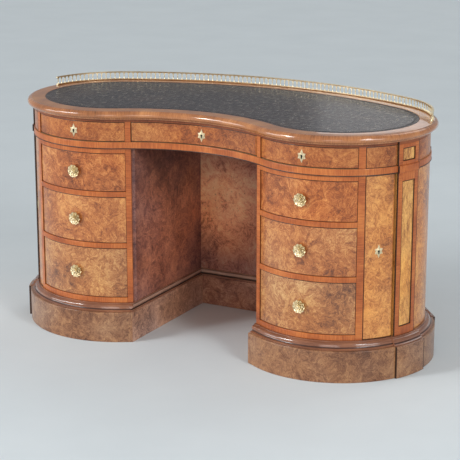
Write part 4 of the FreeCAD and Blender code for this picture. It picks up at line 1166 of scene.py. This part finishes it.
floor_mesh = bpy.data.meshes.new("studio_floor")
floor_corners = [(x * FLOOR_REACH, y * FLOOR_REACH, 0) for x, y in ((-1, -1), (1, -1), (1, 1), (-1, 1))]
floor_mesh.from_pydata(floor_corners, [], [(0, 1, 2, 3)])
floor_mesh.materials.append(floor_finish())
floor = shown("studio_floor", floor_mesh)

world = bpy.data.worlds.new("studio")
world.use_nodes = True
sky = world.node_tree.nodes["Background"].inputs
sky["Color"].default_value = (0.97, 0.98, 1.0, 1)
sky["Strength"].default_value = 0.34
SCENE.world = world


def lamp(name, kind, spot, target, energy, **settings):
    """Lamp that shines from a spot towards a target, itself unseen by the camera."""
    data = bpy.data.lights.new(name, kind)
    data.energy = energy
    for words, value in settings.items():
        setattr(data, words, value)
    light = shown(name, data)
    light.visible_camera = False
    light.location = spot
    light.rotation_euler = (Vector(target) - Vector(spot)).to_track_quat("-Z", "Y").to_euler()


def sun(name, spot, energy, spread):
    """Even light from one side, softened over a spread in degrees."""
    lamp(name, "SUN", spot, MIDDLE, energy, angle=math.radians(spread))


def soft_box(name, spot, target, energy, wide, high):
    """Rectangular lamp, for sheen on the polish."""
    lamp(name, "AREA", spot, target, energy, shape="RECTANGLE", size=wide, size_y=high)


sun("key", (-2.6, -2.8, 2.0), 1.05, 20)
sun("right_fill", (3.6, -1.9, 1.6), 0.84, 30)
sun("left_fill", (-3.2, -1.8, 1.0), 0.62, 24)
sun("back_fill", (0.8, 3.0, 3.4), 0.30, 30)
soft_box("soft_box", (-2.0, -3.0, 2.2), MIDDLE, 32, 0.5, 1.0)
sun("front_fill", (1.2, -4.2, 1.1), 0.36, 24)
soft_box("side_box", (3.0, -1.8, 2.4), MIDDLE, 28, 0.6, 1.4)
soft_box("back_box", (-0.62, 2.8, 1.40), (0.3, 0.1, 0.74), 1.1, 0.7, 0.4)

AIM = Vector((0.0910, -0.191, 0.3828))
AZIMUTH, ELEVATION, DISTANCE = math.radians(28.0), math.radians(15.3), 5.0
back_way = Vector((math.sin(AZIMUTH) * math.cos(ELEVATION), -math.cos(AZIMUTH) * math.cos(ELEVATION),
                   math.sin(ELEVATION)))
camera_data = bpy.data.cameras.new("photo_camera")
camera_data.sensor_width = 36.0
camera_data.lens = 127.2
camera = shown("photo_camera", camera_data)
camera.location = AIM + back_way * DISTANCE
camera.rotation_euler = (-back_way).to_track_quat("-Z", "Y").to_euler()
SCENE.camera = camera
SCENE.view_settings.view_transform = "Standard"

bpy.context.view_layer.update()
